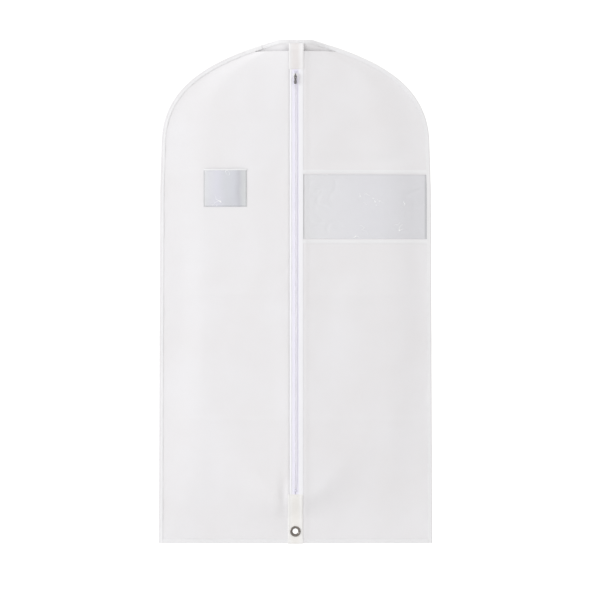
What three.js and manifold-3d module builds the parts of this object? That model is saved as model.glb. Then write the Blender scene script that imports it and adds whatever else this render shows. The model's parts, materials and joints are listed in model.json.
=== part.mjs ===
// Zipped garment bag, hanging empty from its neck, in millimetres.
// +X is to the right of someone facing the zip, +Y goes from front to back and +Z is up.
// The origin is the middle of the neck slit, where a hanger's hook comes out.
//
// The bag is a flat back and a fuller front, sewn together round the edge under a binding.
// It folds in half backwards, so each cloth piece that crosses the fold line is made as an
// upper and a lower solid. Cloth and film are drawn thicker than they are, so that they are solid.

import * as THREE from 'three';
import { mergeVertices } from 'three/addons/utils/BufferGeometryUtils.js';
import Module from 'manifold-3d';

const wasm = await Module();
wasm.setup();

// Driving dimensions of the whole bag
const BAG_LENGTH = 1110;
const HEM_WIDTH = 604;
const SIDE_WIDTH = 592; // where the shoulder curve ends
const SIDE_KNEE = { width: 598, z: -330 }; // below here the sides run almost straight down
const NECK_FLAT = 73.5; // straight run in the middle of the top edge
const SHOULDER_DROP = 233.5; // from the top edge to the end of the shoulder curve
const SHOULDER_SLOPE = 0.268; // fall per unit of run where the shoulder leaves the neck
const SHOULDER_REACH = 182; // how far that slope carries into the curve
const SIDE_REACH = 114.6; // how far the upright end of the curve carries up into it
const MOUTH_DROP = 25.5; // the front stops this far below the back's top edge
const DEPTH = 16; // clear space inside, front to back
const EDGE_RAMP = 50; // width of the front's slope up from the seam
const NECK_SHARE = 0.074; // share of the shoulder curve that the neck's own binding covers
const BINDING_JOINT = 0.001; // share of the curve left open between the neck's binding and the sides'
const GAP = 0.3; // clearance between neighbouring solids
const NECK_ROWS = [-4, -8, -14]; // heights of the back's rows above the front's top edge
// Heights of the cloth's rows down the shoulder, closer together where the edge bends more
const SHOULDER_ROWS = [-30, -45, -60, -72, -90, -110, -135, -165, -195];

// Cloth, film and trim
const CLOTH = 1.2;
const FILM = 1.0;
const TRIM = 0.8;
const BINDING_WIDTH = 9;
const SEAM_INSET = BINDING_WIDTH + 1; // the front lies flat on the back out to here
const CLOTH_INSET = TRIM + GAP; // from the bag's edge in to the cloth's edge
const TAB_WIDTH = 33;
const TOP_TAB_TOP = -8;
const TOP_TAB_BOTTOM = -66;
const BOTTOM_TAB_TOP = -1001;
const BOTTOM_TAB_OVERHANG = 1.5; // below the hem binding

// Window and card pocket
const WINDOW_TOP = -293;
const WINDOW_BOTTOM = -443;
const STRIP_WIDTH = 7.5; // strips sewn over the window's two long edges
const STRIP_OVERLAP = 1.5; // how far a strip reaches on to the film
const POCKET = { left: -202, right: -107, top: -285, bottom: -368, rim: 14, fullness: 5 };

// Zip
const TAPE = 0.7;
const TAPE_TOP = -40;
const TAPE_BOTTOM = -1003;
const CHAIN_GAP = 1.8; // between the two halves, wide enough for the slider's bridge
const COIL_WIDTH = 2.2;
const COIL_HEIGHT = 2.2;
const CHAIN_TOP = -75;
const CHAIN_BOTTOM = -990;
const STOP_LENGTH = 5;
const CLOTH_TO_MIDDLE = 9; // the front panels' edges under the zip tape

// Slider and pull
const SLIDER_TOP = -75.3;
const SLIDER_LENGTH = 11.5;
const SLIDER_PLATE = 1.2;
const SLIDER_TOP_WIDTH = 12;
const SLIDER_FOOT_WIDTH = 9;
const CAP_WIDTH = 2.6;
const CAP_THICKNESS = 1.0;
const CAP_RISE = 3.8; // above the slider's front plate
const CAP_SPAN = 8.4;
const PIVOT_DROP = 4.9; // of the pull's pivot below the slider's top
const PIVOT_RISE = 1.4; // of the pivot above the slider's front plate
const PULL_THICKNESS = 1.2;
const PULL_LENGTH = 19.8;
const PULL_WIDTH = 7;
const PULL_WAIST = 4.8;
const PULL_WAIST_DROP = 5; // of the narrowest place below the eye
const PULL_WAIST_SWELL = 3; // how quickly it widens again below the waist
const PULL_CORNER = 1;
const PULL_EYE = { width: 4.2, length: 5 };

// Eyelet for the folded bag's hanger hook
const EYELET_Z = -1084;
const EYELET = { bore: 6.25, barrel: 7.2, flange: 11.5, lip: 9, thickness: 1.2 };
const ROUND_STEPS = 48;

// The fold brings the eyelet just above the neck, and its axis lies behind everything on the back.
const EYELET_ABOVE_NECK = 12;
const FOLD_Z = (EYELET_Z + EYELET_ABOVE_NECK) / 2;

// Levels from back to front
const BACK_INSIDE = DEPTH / 2;
const FRONT_AT_SEAM = BACK_INSIDE - GAP - CLOTH;
const FRONT_RISE = DEPTH - GAP; // how far forward the front comes from the seam to its flat middle
const FRONT_FACE = FRONT_AT_SEAM - FRONT_RISE;
const TAPE_FACE = FRONT_FACE - GAP - TAPE;
const COIL_FACE = TAPE_FACE - GAP - COIL_HEIGHT;
const SLIDER_FACE = COIL_FACE - GAP - SLIDER_PLATE;
const BINDING_FRONT = FRONT_AT_SEAM - GAP - TRIM;
const BINDING_BACK = BACK_INSIDE + CLOTH + GAP + TRIM;

// Heights where the front starts to flatten towards the hem, and where it lies on the back
const HEM_RAMP_TOP = TAPE_BOTTOM;
const HEM_RAMP_BOTTOM = -1060;
const CLOTH_BOTTOM = -BAG_LENGTH + CLOTH_INSET;
const MOUTH_Z = -MOUTH_DROP;

const FINISHES = {
  cloth: { color: 0xf1f0f1, roughness: 0.75, metalness: 0 },
  film: { color: 0xdcdfe4, roughness: 0.15, metalness: 0, transparent: true, opacity: 0.35 },
  binding: { color: 0xf6f5f6, roughness: 0.7, metalness: 0 },
  tab: { color: 0xefedea, roughness: 0.8, metalness: 0 },
  tape: { color: 0xf3f2fb, roughness: 0.8, metalness: 0 },
  coil: { color: 0xe4e2f0, roughness: 0.4, metalness: 0 },
  gunmetal: { color: 0x6e6a68, roughness: 0.35, metalness: 1 },
  nickel: { color: 0xa8a49e, roughness: 0.3, metalness: 1 },
};

const bag = new THREE.Group();

function add(name, finish, geometry) {
  const mesh = new THREE.Mesh(geometry, new THREE.MeshStandardMaterial(FINISHES[finish]));
  mesh.name = name;
  bag.add(mesh);
}

// ---- Closed geometry from points ----

function signedVolume(points, faces) {
  const corner = new THREE.Vector3();
  let volume = 0;
  for (const [a, b, c] of faces) {
    volume += corner.crossVectors(points[a], points[b]).dot(points[c]) / 6;
  }
  return volume;
}

function closedGeometry(points, faces) {
  const inward = signedVolume(points, faces) < 0;
  const outward = inward ? faces.map(([a, b, c]) => [a, c, b]) : faces;
  const geometry = new THREE.BufferGeometry().setFromPoints(points);
  geometry.setIndex(outward.flat());
  return geometry;
}

// Cloth: rows of points on its front face, thickened straight back.
function sheet(rows, thickness) {
  const front = rows.flat();
  const points = [...front, ...front.map((p) => new THREE.Vector3(p.x, p.y + thickness, p.z))];
  const columns = rows[0].length;
  const at = (row, column) => row * columns + column;
  const faces = [];
  for (let row = 0; row < rows.length - 1; row += 1) {
    for (let column = 0; column < columns - 1; column += 1) {
      const [a, b] = [at(row, column), at(row + 1, column)];
      const [c, d] = [at(row + 1, column + 1), at(row, column + 1)];
      faces.push([a, b, c], [a, c, d]);
    }
  }
  faces.push(...faces.map(([a, b, c]) => [a + front.length, c + front.length, b + front.length]));
  const border = [];
  for (let row = 0; row < rows.length - 1; row += 1) border.push(at(row, 0));
  for (let column = 0; column < columns - 1; column += 1) border.push(at(rows.length - 1, column));
  for (let row = rows.length - 1; row > 0; row -= 1) border.push(at(row, columns - 1));
  for (let column = columns - 1; column > 0; column -= 1) border.push(at(0, column));
  border.forEach((p, i) => {
    const q = border[(i + 1) % border.length];
    faces.push([q, p, p + front.length], [q, p + front.length, q + front.length]);
  });
  return closedGeometry(points, faces);
}

// Trim: a flat section of (distance in from the edge, depth) carried along places on the edge.
function sweep(section, places) {
  const points = places.flatMap(({ edge, outward }) => section.map(([inset, y]) => {
    const place = edge.clone().addScaledVector(outward, -inset);
    return new THREE.Vector3(place.x, y, place.y);
  }));
  const count = section.length;
  const faces = [];
  for (let place = 0; place < places.length - 1; place += 1) {
    for (let i = 0; i < count; i += 1) {
      const [a, b] = [place * count + i, place * count + ((i + 1) % count)];
      faces.push([a, b, b + count], [a, b + count, a + count]);
    }
  }
  const outline = section.map(([inset, y]) => new THREE.Vector2(inset, y));
  const cap = THREE.ShapeUtils.triangulateShape(outline, []);
  const clockwise = THREE.ShapeUtils.isClockWise(outline);
  const last = points.length - count;
  for (const [a, b, c] of cap) {
    const start = clockwise ? [a, b, c] : [a, c, b];
    const [d, e, f] = start;
    faces.push(start, [d + last, f + last, e + last]);
  }
  return closedGeometry(points, faces);
}

function block(x0, x1, y0, y1, z0, z1) {
  const geometry = new THREE.BoxGeometry(x1 - x0, y1 - y0, z1 - z0);
  return geometry.translate((x0 + x1) / 2, (y0 + y1) / 2, (z0 + z1) / 2);
}

// A shape drawn in X and Z, standing from y0 back to y1
function plate(shape, y0, y1) {
  const settings = { depth: y1 - y0, bevelEnabled: false, curveSegments: 8 };
  const geometry = new THREE.ExtrudeGeometry(shape, settings);
  return geometry.rotateX(Math.PI / 2).translate(0, y1, 0);
}

// A turned piece whose axis is Y, from a closed outline of [radius, y]
function turned(outline, z) {
  const ring = [...outline, outline[0]].map(([radius, y]) => new THREE.Vector2(radius, y));
  return new THREE.LatheGeometry(ring, ROUND_STEPS).translate(0, 0, z);
}

function solid(geometry) {
  const bare = geometry.clone();
  bare.deleteAttribute('normal');
  bare.deleteAttribute('uv');
  const merged = mergeVertices(bare, 1e-4);
  return new wasm.Manifold(new wasm.Mesh({
    numProp: 3,
    vertProperties: new Float32Array(merged.attributes.position.array),
    triVerts: new Uint32Array(merged.index.array),
  }));
}

function fromSolid(body) {
  const { vertProperties, triVerts } = body.getMesh();
  const geometry = new THREE.BufferGeometry();
  geometry.setAttribute('position', new THREE.BufferAttribute(vertProperties, 3));
  geometry.setIndex(new THREE.BufferAttribute(triVerts, 1));
  return geometry;
}

function joined(first, ...others) {
  return fromSolid(others.reduce((body, other) => body.add(solid(other)), solid(first)));
}

function cut(geometry, tool) {
  return fromSolid(solid(geometry).subtract(solid(tool)));
}

function mirrored(points) {
  return points.map((p) => new THREE.Vector3(-p.x, p.y, p.z)).reverse();
}

// ---- The bag's edge, right half, from the neck to the hem corner ----

const shoulder = new THREE.CubicBezierCurve(
  new THREE.Vector2(NECK_FLAT / 2, 0),
  new THREE.Vector2(NECK_FLAT / 2 + SHOULDER_REACH, -SHOULDER_REACH * SHOULDER_SLOPE),
  new THREE.Vector2(SIDE_WIDTH / 2, SIDE_REACH - SHOULDER_DROP),
  new THREE.Vector2(SIDE_WIDTH / 2, -SHOULDER_DROP),
);
const SHOULDER_STEPS = 18;
const UP = new THREE.Vector2(0, 1);
const RIGHT = new THREE.Vector2(1, 0);

// The straight side below the shoulder curve's knee
function sideX(z) {
  const along = (SIDE_KNEE.z - z) / (BAG_LENGTH + SIDE_KNEE.z);
  return THREE.MathUtils.lerp(SIDE_KNEE.width / 2, HEM_WIDTH / 2, along);
}

function sidePlace(z) {
  return { edge: new THREE.Vector2(sideX(z), z), outward: RIGHT };
}

function shoulderPlace(t) {
  const tangent = shoulder.getTangent(t);
  return { edge: shoulder.getPoint(t), outward: new THREE.Vector2(-tangent.y, tangent.x) };
}

const shoulderPlaces = Array.from(
  { length: SHOULDER_STEPS + 1 },
  (_, i) => shoulderPlace(i / SHOULDER_STEPS),
);
const edgePlaces = [
  { edge: new THREE.Vector2(0, 0), outward: UP },
  ...shoulderPlaces,
  sidePlace(SIDE_KNEE.z),
  sidePlace(FOLD_Z),
  sidePlace(-BAG_LENGTH),
];

function edgeLine(inset) {
  return edgePlaces.map(({ edge, outward }) => edge.clone().addScaledVector(outward, -inset));
}

// Half width of the bag at a height, measured to a line that stays `inset` inside the edge
function halfWidth(z, inset) {
  const line = edgeLine(inset);
  const next = line.findIndex((p, i) => i > 1 && p.y <= z);
  const end = next < 0 ? line.length - 1 : next;
  const [a, b] = [line[end - 1], line[end]];
  return THREE.MathUtils.lerp(a.x, b.x, (a.y - z) / (a.y - b.y));
}

const seamLine = [
  new THREE.Vector2(halfWidth(MOUTH_Z, SEAM_INSET), MOUTH_Z),
  ...edgeLine(SEAM_INSET).filter((p) => p.y < MOUTH_Z),
];

function seamDistance(point) {
  const distances = seamLine.slice(1).map((end, i) => {
    const start = seamLine[i];
    const run = end.clone().sub(start);
    const along = THREE.MathUtils.clamp(point.clone().sub(start).dot(run) / run.lengthSq(), 0, 1);
    return start.clone().addScaledVector(run, along).distanceTo(point);
  });
  return Math.min(...distances);
}

// Where the front's slope up from the seam reaches its flat middle, at a height
function rampStart(z) {
  let [inside, outside] = [0, halfWidth(z, SEAM_INSET)];
  for (let step = 0; step < 24; step += 1) {
    const middle = (inside + outside) / 2;
    if (seamDistance(new THREE.Vector2(middle, z)) > EDGE_RAMP) inside = middle;
    else outside = middle;
  }
  return inside;
}

// 1 where the front stands off the back, falling to 0 in the flat band above the hem
function fullness(z) {
  return THREE.MathUtils.clamp((z - HEM_RAMP_BOTTOM) / (HEM_RAMP_TOP - HEM_RAMP_BOTTOM), 0, 1);
}

function frontY(z) {
  return FRONT_AT_SEAM - FRONT_RISE * fullness(z);
}

// One row across the right half of the front: edge under the zip, flat middle, slope, seam allowance
function frontRow(z) {
  return [
    new THREE.Vector3(CLOTH_TO_MIDDLE, frontY(z), z),
    new THREE.Vector3(rampStart(z), frontY(z), z),
    new THREE.Vector3(halfWidth(z, SEAM_INSET), FRONT_AT_SEAM, z),
    new THREE.Vector3(halfWidth(z, CLOTH_INSET), FRONT_AT_SEAM, z),
  ];
}

function heightsBetween(top, bottom) {
  const steps = [...SHOULDER_ROWS, -SHOULDER_DROP, SIDE_KNEE.z, HEM_RAMP_TOP, HEM_RAMP_BOTTOM];
  return [top, ...steps.filter((z) => z < top && z > bottom), bottom];
}

function rightFront(top, bottom, thickness = CLOTH) {
  return sheet(heightsBetween(top, bottom).map(frontRow), thickness);
}

function leftFront(top, bottom) {
  return sheet(heightsBetween(top, bottom).map((z) => mirrored(frontRow(z))), CLOTH);
}

const ABOVE_FOLD = FOLD_Z + GAP / 2;
const BELOW_FOLD = FOLD_Z - GAP / 2;

// ---- Back panel: flat, in one layer, with a hole for the eyelet ----

function backPanel(top, bottom) {
  const heights = [top, ...NECK_ROWS, ...heightsBetween(MOUTH_Z, bottom)]
    .filter((z, i, all) => z <= top && z >= bottom && all.indexOf(z) === i);
  const row = (z) => [-1, 1].map((side) =>
    new THREE.Vector3(side * halfWidth(z, CLOTH_INSET), BACK_INSIDE, z));
  return sheet(heights.map(row), CLOTH);
}

function eyeletHole() {
  const length = 40;
  const radius = EYELET.barrel + GAP;
  return new THREE.CylinderGeometry(radius, radius, length, ROUND_STEPS).translate(0, 0, EYELET_Z);
}

add('back_panel_upper', 'cloth', backPanel(-CLOTH_INSET, ABOVE_FOLD));
add('back_panel_lower', 'cloth', cut(backPanel(BELOW_FOLD, CLOTH_BOTTOM), eyeletHole()));

// ---- Front panels, with the window let into the right one ----

add('front_left_upper', 'cloth', leftFront(MOUTH_Z, ABOVE_FOLD));
add('front_left_lower', 'cloth', leftFront(BELOW_FOLD, CLOTH_BOTTOM));
add('front_right_shoulder', 'cloth', rightFront(MOUTH_Z, WINDOW_TOP + GAP));
add('window_film', 'film', rightFront(WINDOW_TOP, WINDOW_BOTTOM, FILM));
add('front_right_upper', 'cloth', rightFront(WINDOW_BOTTOM - GAP, ABOVE_FOLD));
add('front_right_lower', 'cloth', rightFront(BELOW_FOLD, CLOTH_BOTTOM));

// Strips sewn over the window's top and bottom edges, from the zip tape to the binding
function windowStrip(top) {
  const lift = GAP + TRIM;
  const row = (z) => [
    new THREE.Vector3(TAB_WIDTH / 2 + GAP, frontY(z) - lift, z),
    new THREE.Vector3(rampStart(z), frontY(z) - lift, z),
    new THREE.Vector3(halfWidth(z, SEAM_INSET), FRONT_AT_SEAM - lift, z),
  ];
  return sheet([row(top), row(top - STRIP_WIDTH)], TRIM);
}

add('window_strip_top', 'binding', windowStrip(WINDOW_TOP - STRIP_OVERLAP + STRIP_WIDTH));
add('window_strip_bottom', 'binding', windowStrip(WINDOW_BOTTOM + STRIP_OVERLAP));

// ---- Card pocket: clear film sewn on along three sides, open at the top ----

function cardPocket() {
  const flat = FRONT_FACE - GAP - FILM;
  const full = flat - POCKET.fullness;
  const row = (z, middle) => [
    new THREE.Vector3(POCKET.left, flat, z),
    new THREE.Vector3(POCKET.left + POCKET.rim, middle, z),
    new THREE.Vector3(POCKET.right - POCKET.rim, middle, z),
    new THREE.Vector3(POCKET.right, flat, z),
  ];
  const rows = [row(POCKET.top, full), row(POCKET.bottom + POCKET.rim, full), row(POCKET.bottom, flat)];
  return sheet(rows, FILM);
}

add('card_pocket_film', 'film', cardPocket());

// ---- Zip: two tapes with a coil on each, and stops at both ends ----

const CHAIN_EDGE = CHAIN_GAP / 2;
const HALVES = [['left', -1], ['right', 1]];

function beside(side, x0, x1, y0, y1, z0, z1) {
  return side > 0 ? block(x0, x1, y0, y1, z0, z1) : block(-x1, -x0, y0, y1, z0, z1);
}

function tape(side, top, bottom) {
  return beside(side, CHAIN_EDGE, TAB_WIDTH / 2, TAPE_FACE, TAPE_FACE + TAPE, bottom, top);
}

function coil(side, top, bottom) {
  const faces = [COIL_FACE, COIL_FACE + COIL_HEIGHT];
  return beside(side, CHAIN_EDGE, CHAIN_EDGE + COIL_WIDTH, ...faces, bottom, top);
}

for (const [name, side] of HALVES) {
  add(`zip_tape_${name}_upper`, 'tape', tape(side, TAPE_TOP, ABOVE_FOLD));
  add(`zip_tape_${name}_lower`, 'tape', tape(side, BELOW_FOLD, TAPE_BOTTOM));
  add(`zip_coil_${name}_upper`, 'coil', coil(side, CHAIN_TOP, ABOVE_FOLD));
  add(`zip_coil_${name}_lower`, 'coil', coil(side, BELOW_FOLD, CHAIN_BOTTOM));
  add(`top_stop_${name}`, 'gunmetal', coil(side, CHAIN_TOP + GAP + STOP_LENGTH, CHAIN_TOP + GAP));
}
const STOP_REACH = CHAIN_EDGE + COIL_WIDTH;
add('bottom_stop', 'gunmetal', block(
  -STOP_REACH, STOP_REACH, COIL_FACE, COIL_FACE + COIL_HEIGHT,
  CHAIN_BOTTOM - GAP - STOP_LENGTH, CHAIN_BOTTOM - GAP,
));

// ---- Cloth tabs that close the zip's two ends ----

const TAB_FACE = TAPE_FACE - GAP - TRIM;
const TAB_AT_HEM = BINDING_FRONT - GAP - TRIM;

function tabRow(y, z) {
  return [new THREE.Vector3(-TAB_WIDTH / 2, y, z), new THREE.Vector3(TAB_WIDTH / 2, y, z)];
}

add('top_tab', 'tab', sheet([tabRow(TAB_FACE, TOP_TAB_TOP), tabRow(TAB_FACE, TOP_TAB_BOTTOM)], TRIM));
const bottomTab = sheet([
  tabRow(TAB_FACE, BOTTOM_TAB_TOP),
  tabRow(TAB_FACE, HEM_RAMP_TOP),
  tabRow(TAB_AT_HEM, HEM_RAMP_BOTTOM),
  tabRow(TAB_AT_HEM, -BAG_LENGTH - BOTTOM_TAB_OVERHANG),
], TRIM);
add('bottom_tab', 'tab', cut(bottomTab, eyeletHole()));

// ---- Binding: a tape folded over the edge, so its section is a U ----

function bindingSection(front) {
  return [
    [0, front],
    [BINDING_WIDTH, front],
    [BINDING_WIDTH, front + TRIM],
    [TRIM, front + TRIM],
    [TRIM, BINDING_BACK - TRIM],
    [BINDING_WIDTH, BINDING_BACK - TRIM],
    [BINDING_WIDTH, BINDING_BACK],
    [0, BINDING_BACK],
  ];
}

function flipped(places) {
  return places.map(({ edge, outward }) => ({
    edge: new THREE.Vector2(-edge.x, edge.y),
    outward: new THREE.Vector2(-outward.x, outward.y),
  }));
}

// The neck binding covers the back's top edge alone; the side bindings start where the front joins in.
const neckEdge = [0, NECK_SHARE / 2, NECK_SHARE].map(shoulderPlace);
const upperSide = [
  shoulderPlace(NECK_SHARE + BINDING_JOINT),
  ...shoulderPlaces.slice(Math.ceil(NECK_SHARE * SHOULDER_STEPS)),
  sidePlace(SIDE_KNEE.z),
  sidePlace(ABOVE_FOLD),
];
const lowerSide = [sidePlace(BELOW_FOLD), sidePlace(-BAG_LENGTH)];
const seamSection = bindingSection(BINDING_FRONT);

add('neck_binding', 'binding', sweep(
  bindingSection(BACK_INSIDE - GAP - TRIM),
  [...flipped(neckEdge).reverse(), ...neckEdge],
));
for (const [name, side] of HALVES) {
  const turn = side > 0 ? (places) => places : flipped;
  add(`binding_${name}_upper`, 'binding', sweep(seamSection, turn(upperSide)));
  add(`binding_${name}_lower`, 'binding', sweep(seamSection, turn(lowerSide)));
}
const HEM_REACH = HEM_WIDTH / 2 - BINDING_WIDTH - GAP;
add('hem_binding', 'binding', sweep(seamSection, [-HEM_REACH, HEM_REACH].map((x) => ({
  edge: new THREE.Vector2(x, -BAG_LENGTH),
  outward: new THREE.Vector2(0, -1),
}))));

// ---- Eyelet: a flanged barrel set through all the layers on to a washer behind ----

const FLANGE_BACK = TAB_AT_HEM - GAP;
const FLANGE_FACE = FLANGE_BACK - EYELET.thickness;
const WASHER_BACK = BINDING_BACK;
const LIP_BACK = WASHER_BACK + GAP + TRIM;
const FLANGE_BEVEL = 0.6;

add('eyelet', 'nickel', turned([
  [EYELET.bore, LIP_BACK],
  [EYELET.bore, FLANGE_FACE + FLANGE_BEVEL],
  [EYELET.bore + FLANGE_BEVEL, FLANGE_FACE],
  [EYELET.flange - FLANGE_BEVEL, FLANGE_FACE],
  [EYELET.flange, FLANGE_FACE + FLANGE_BEVEL],
  [EYELET.flange, FLANGE_BACK],
  [EYELET.barrel, FLANGE_BACK],
  [EYELET.barrel, WASHER_BACK + GAP],
  [EYELET.lip, WASHER_BACK + GAP],
  [EYELET.lip, LIP_BACK],
], EYELET_Z));
add('eyelet_washer', 'nickel', turned([
  [EYELET.barrel + GAP, WASHER_BACK - TRIM],
  [EYELET.flange, WASHER_BACK - TRIM],
  [EYELET.flange, WASHER_BACK],
  [EYELET.barrel + GAP, WASHER_BACK],
], EYELET_Z));

// ---- Slider: two plates joined by a bridge that runs between the tapes ----

const SLIDER_FOOT = SLIDER_TOP - SLIDER_LENGTH;
const CORNER = 1.6;

function sliderOutline() {
  const [top, foot] = [SLIDER_TOP_WIDTH / 2, SLIDER_FOOT_WIDTH / 2];
  const shape = new THREE.Shape();
  shape.moveTo(-foot + CORNER, SLIDER_FOOT);
  shape.lineTo(foot - CORNER, SLIDER_FOOT);
  shape.quadraticCurveTo(foot, SLIDER_FOOT, foot, SLIDER_FOOT + CORNER);
  shape.lineTo(top, SLIDER_TOP - 2 * CORNER);
  shape.quadraticCurveTo(top, SLIDER_TOP, top - 2 * CORNER, SLIDER_TOP);
  shape.lineTo(-top + 2 * CORNER, SLIDER_TOP);
  shape.quadraticCurveTo(-top, SLIDER_TOP, -top, SLIDER_TOP - 2 * CORNER);
  shape.lineTo(-foot, SLIDER_FOOT + CORNER);
  shape.quadraticCurveTo(-foot, SLIDER_FOOT, -foot + CORNER, SLIDER_FOOT);
  return shape;
}

// A rail folded back from the front plate on each side, which keeps the coils together
function sliderRail(side) {
  const inner = CHAIN_EDGE + COIL_WIDTH + GAP;
  return beside(
    side, inner, SLIDER_FOOT_WIDTH / 2,
    SLIDER_FACE + SLIDER_PLATE / 2, TAPE_FACE - GAP,
    SLIDER_FOOT + CORNER, SLIDER_TOP - 2 * CORNER,
  );
}

const BRIDGE_LENGTH = 4.5;
const bridgeReach = CHAIN_EDGE - GAP;
const backPlateY = TAPE_FACE + TAPE + GAP;
add('slider_body', 'gunmetal', joined(
  plate(sliderOutline(), SLIDER_FACE, SLIDER_FACE + SLIDER_PLATE),
  plate(sliderOutline(), backPlateY, backPlateY + SLIDER_PLATE),
  block(
    -bridgeReach, bridgeReach,
    SLIDER_FACE + SLIDER_PLATE / 2, backPlateY + SLIDER_PLATE / 2,
    SLIDER_TOP - BRIDGE_LENGTH, SLIDER_TOP - GAP,
  ),
  sliderRail(-1),
  sliderRail(1),
));

// ---- Cap: an arch on the slider's face that the pull hangs from ----

const CAP_FOOT_Y = SLIDER_FACE - GAP;
const CAP_FACE = SLIDER_FACE - CAP_RISE;
const PIVOT_Z = SLIDER_TOP - PIVOT_DROP;
const PIVOT_Y = SLIDER_FACE - PIVOT_RISE;

function capLeg(z0) {
  return block(-CAP_WIDTH / 2, CAP_WIDTH / 2, CAP_FACE, CAP_FOOT_Y, z0, z0 + CAP_THICKNESS);
}

add('slider_cap', 'gunmetal', joined(
  block(
    -CAP_WIDTH / 2, CAP_WIDTH / 2, CAP_FACE, CAP_FACE + CAP_THICKNESS,
    PIVOT_Z - CAP_SPAN / 2, PIVOT_Z + CAP_SPAN / 2,
  ),
  capLeg(PIVOT_Z - CAP_SPAN / 2),
  capLeg(PIVOT_Z + CAP_SPAN / 2 - CAP_THICKNESS),
));

// ---- Pull: a waisted plate whose eye is threaded by the cap ----

function pullOutline() {
  const barTop = PIVOT_Z + PULL_THICKNESS / 2;
  const tip = barTop - PULL_LENGTH;
  const half = PULL_WIDTH / 2;
  const waistZ = PIVOT_Z - PULL_EYE.length - PULL_WAIST_DROP;
  const swellZ = waistZ - PULL_WAIST_SWELL;
  const shape = new THREE.Shape();
  shape.moveTo(-half, barTop - PULL_CORNER);
  shape.bezierCurveTo(-half, waistZ, -PULL_WAIST / 2, waistZ, -PULL_WAIST / 2, waistZ);
  shape.bezierCurveTo(-PULL_WAIST / 2, swellZ, -half, swellZ, -half, tip + half);
  shape.absarc(0, tip + half, half, Math.PI, 2 * Math.PI, false);
  shape.bezierCurveTo(half, swellZ, PULL_WAIST / 2, swellZ, PULL_WAIST / 2, waistZ);
  shape.bezierCurveTo(PULL_WAIST / 2, waistZ, half, waistZ, half, barTop - PULL_CORNER);
  shape.lineTo(half - PULL_CORNER, barTop);
  shape.lineTo(-half + PULL_CORNER, barTop);
  const eye = new THREE.Path();
  const eyeTop = PIVOT_Z - PULL_THICKNESS / 2;
  eye.moveTo(-PULL_EYE.width / 2, eyeTop);
  eye.lineTo(-PULL_EYE.width / 2, eyeTop - PULL_EYE.length);
  eye.lineTo(PULL_EYE.width / 2, eyeTop - PULL_EYE.length);
  eye.lineTo(PULL_EYE.width / 2, eyeTop);
  shape.holes.push(eye);
  return shape;
}

const pullFace = PIVOT_Y - PULL_THICKNESS / 2;
add('pull_tab', 'gunmetal', plate(pullOutline(), pullFace, pullFace + PULL_THICKNESS));

export default bag;
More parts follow.
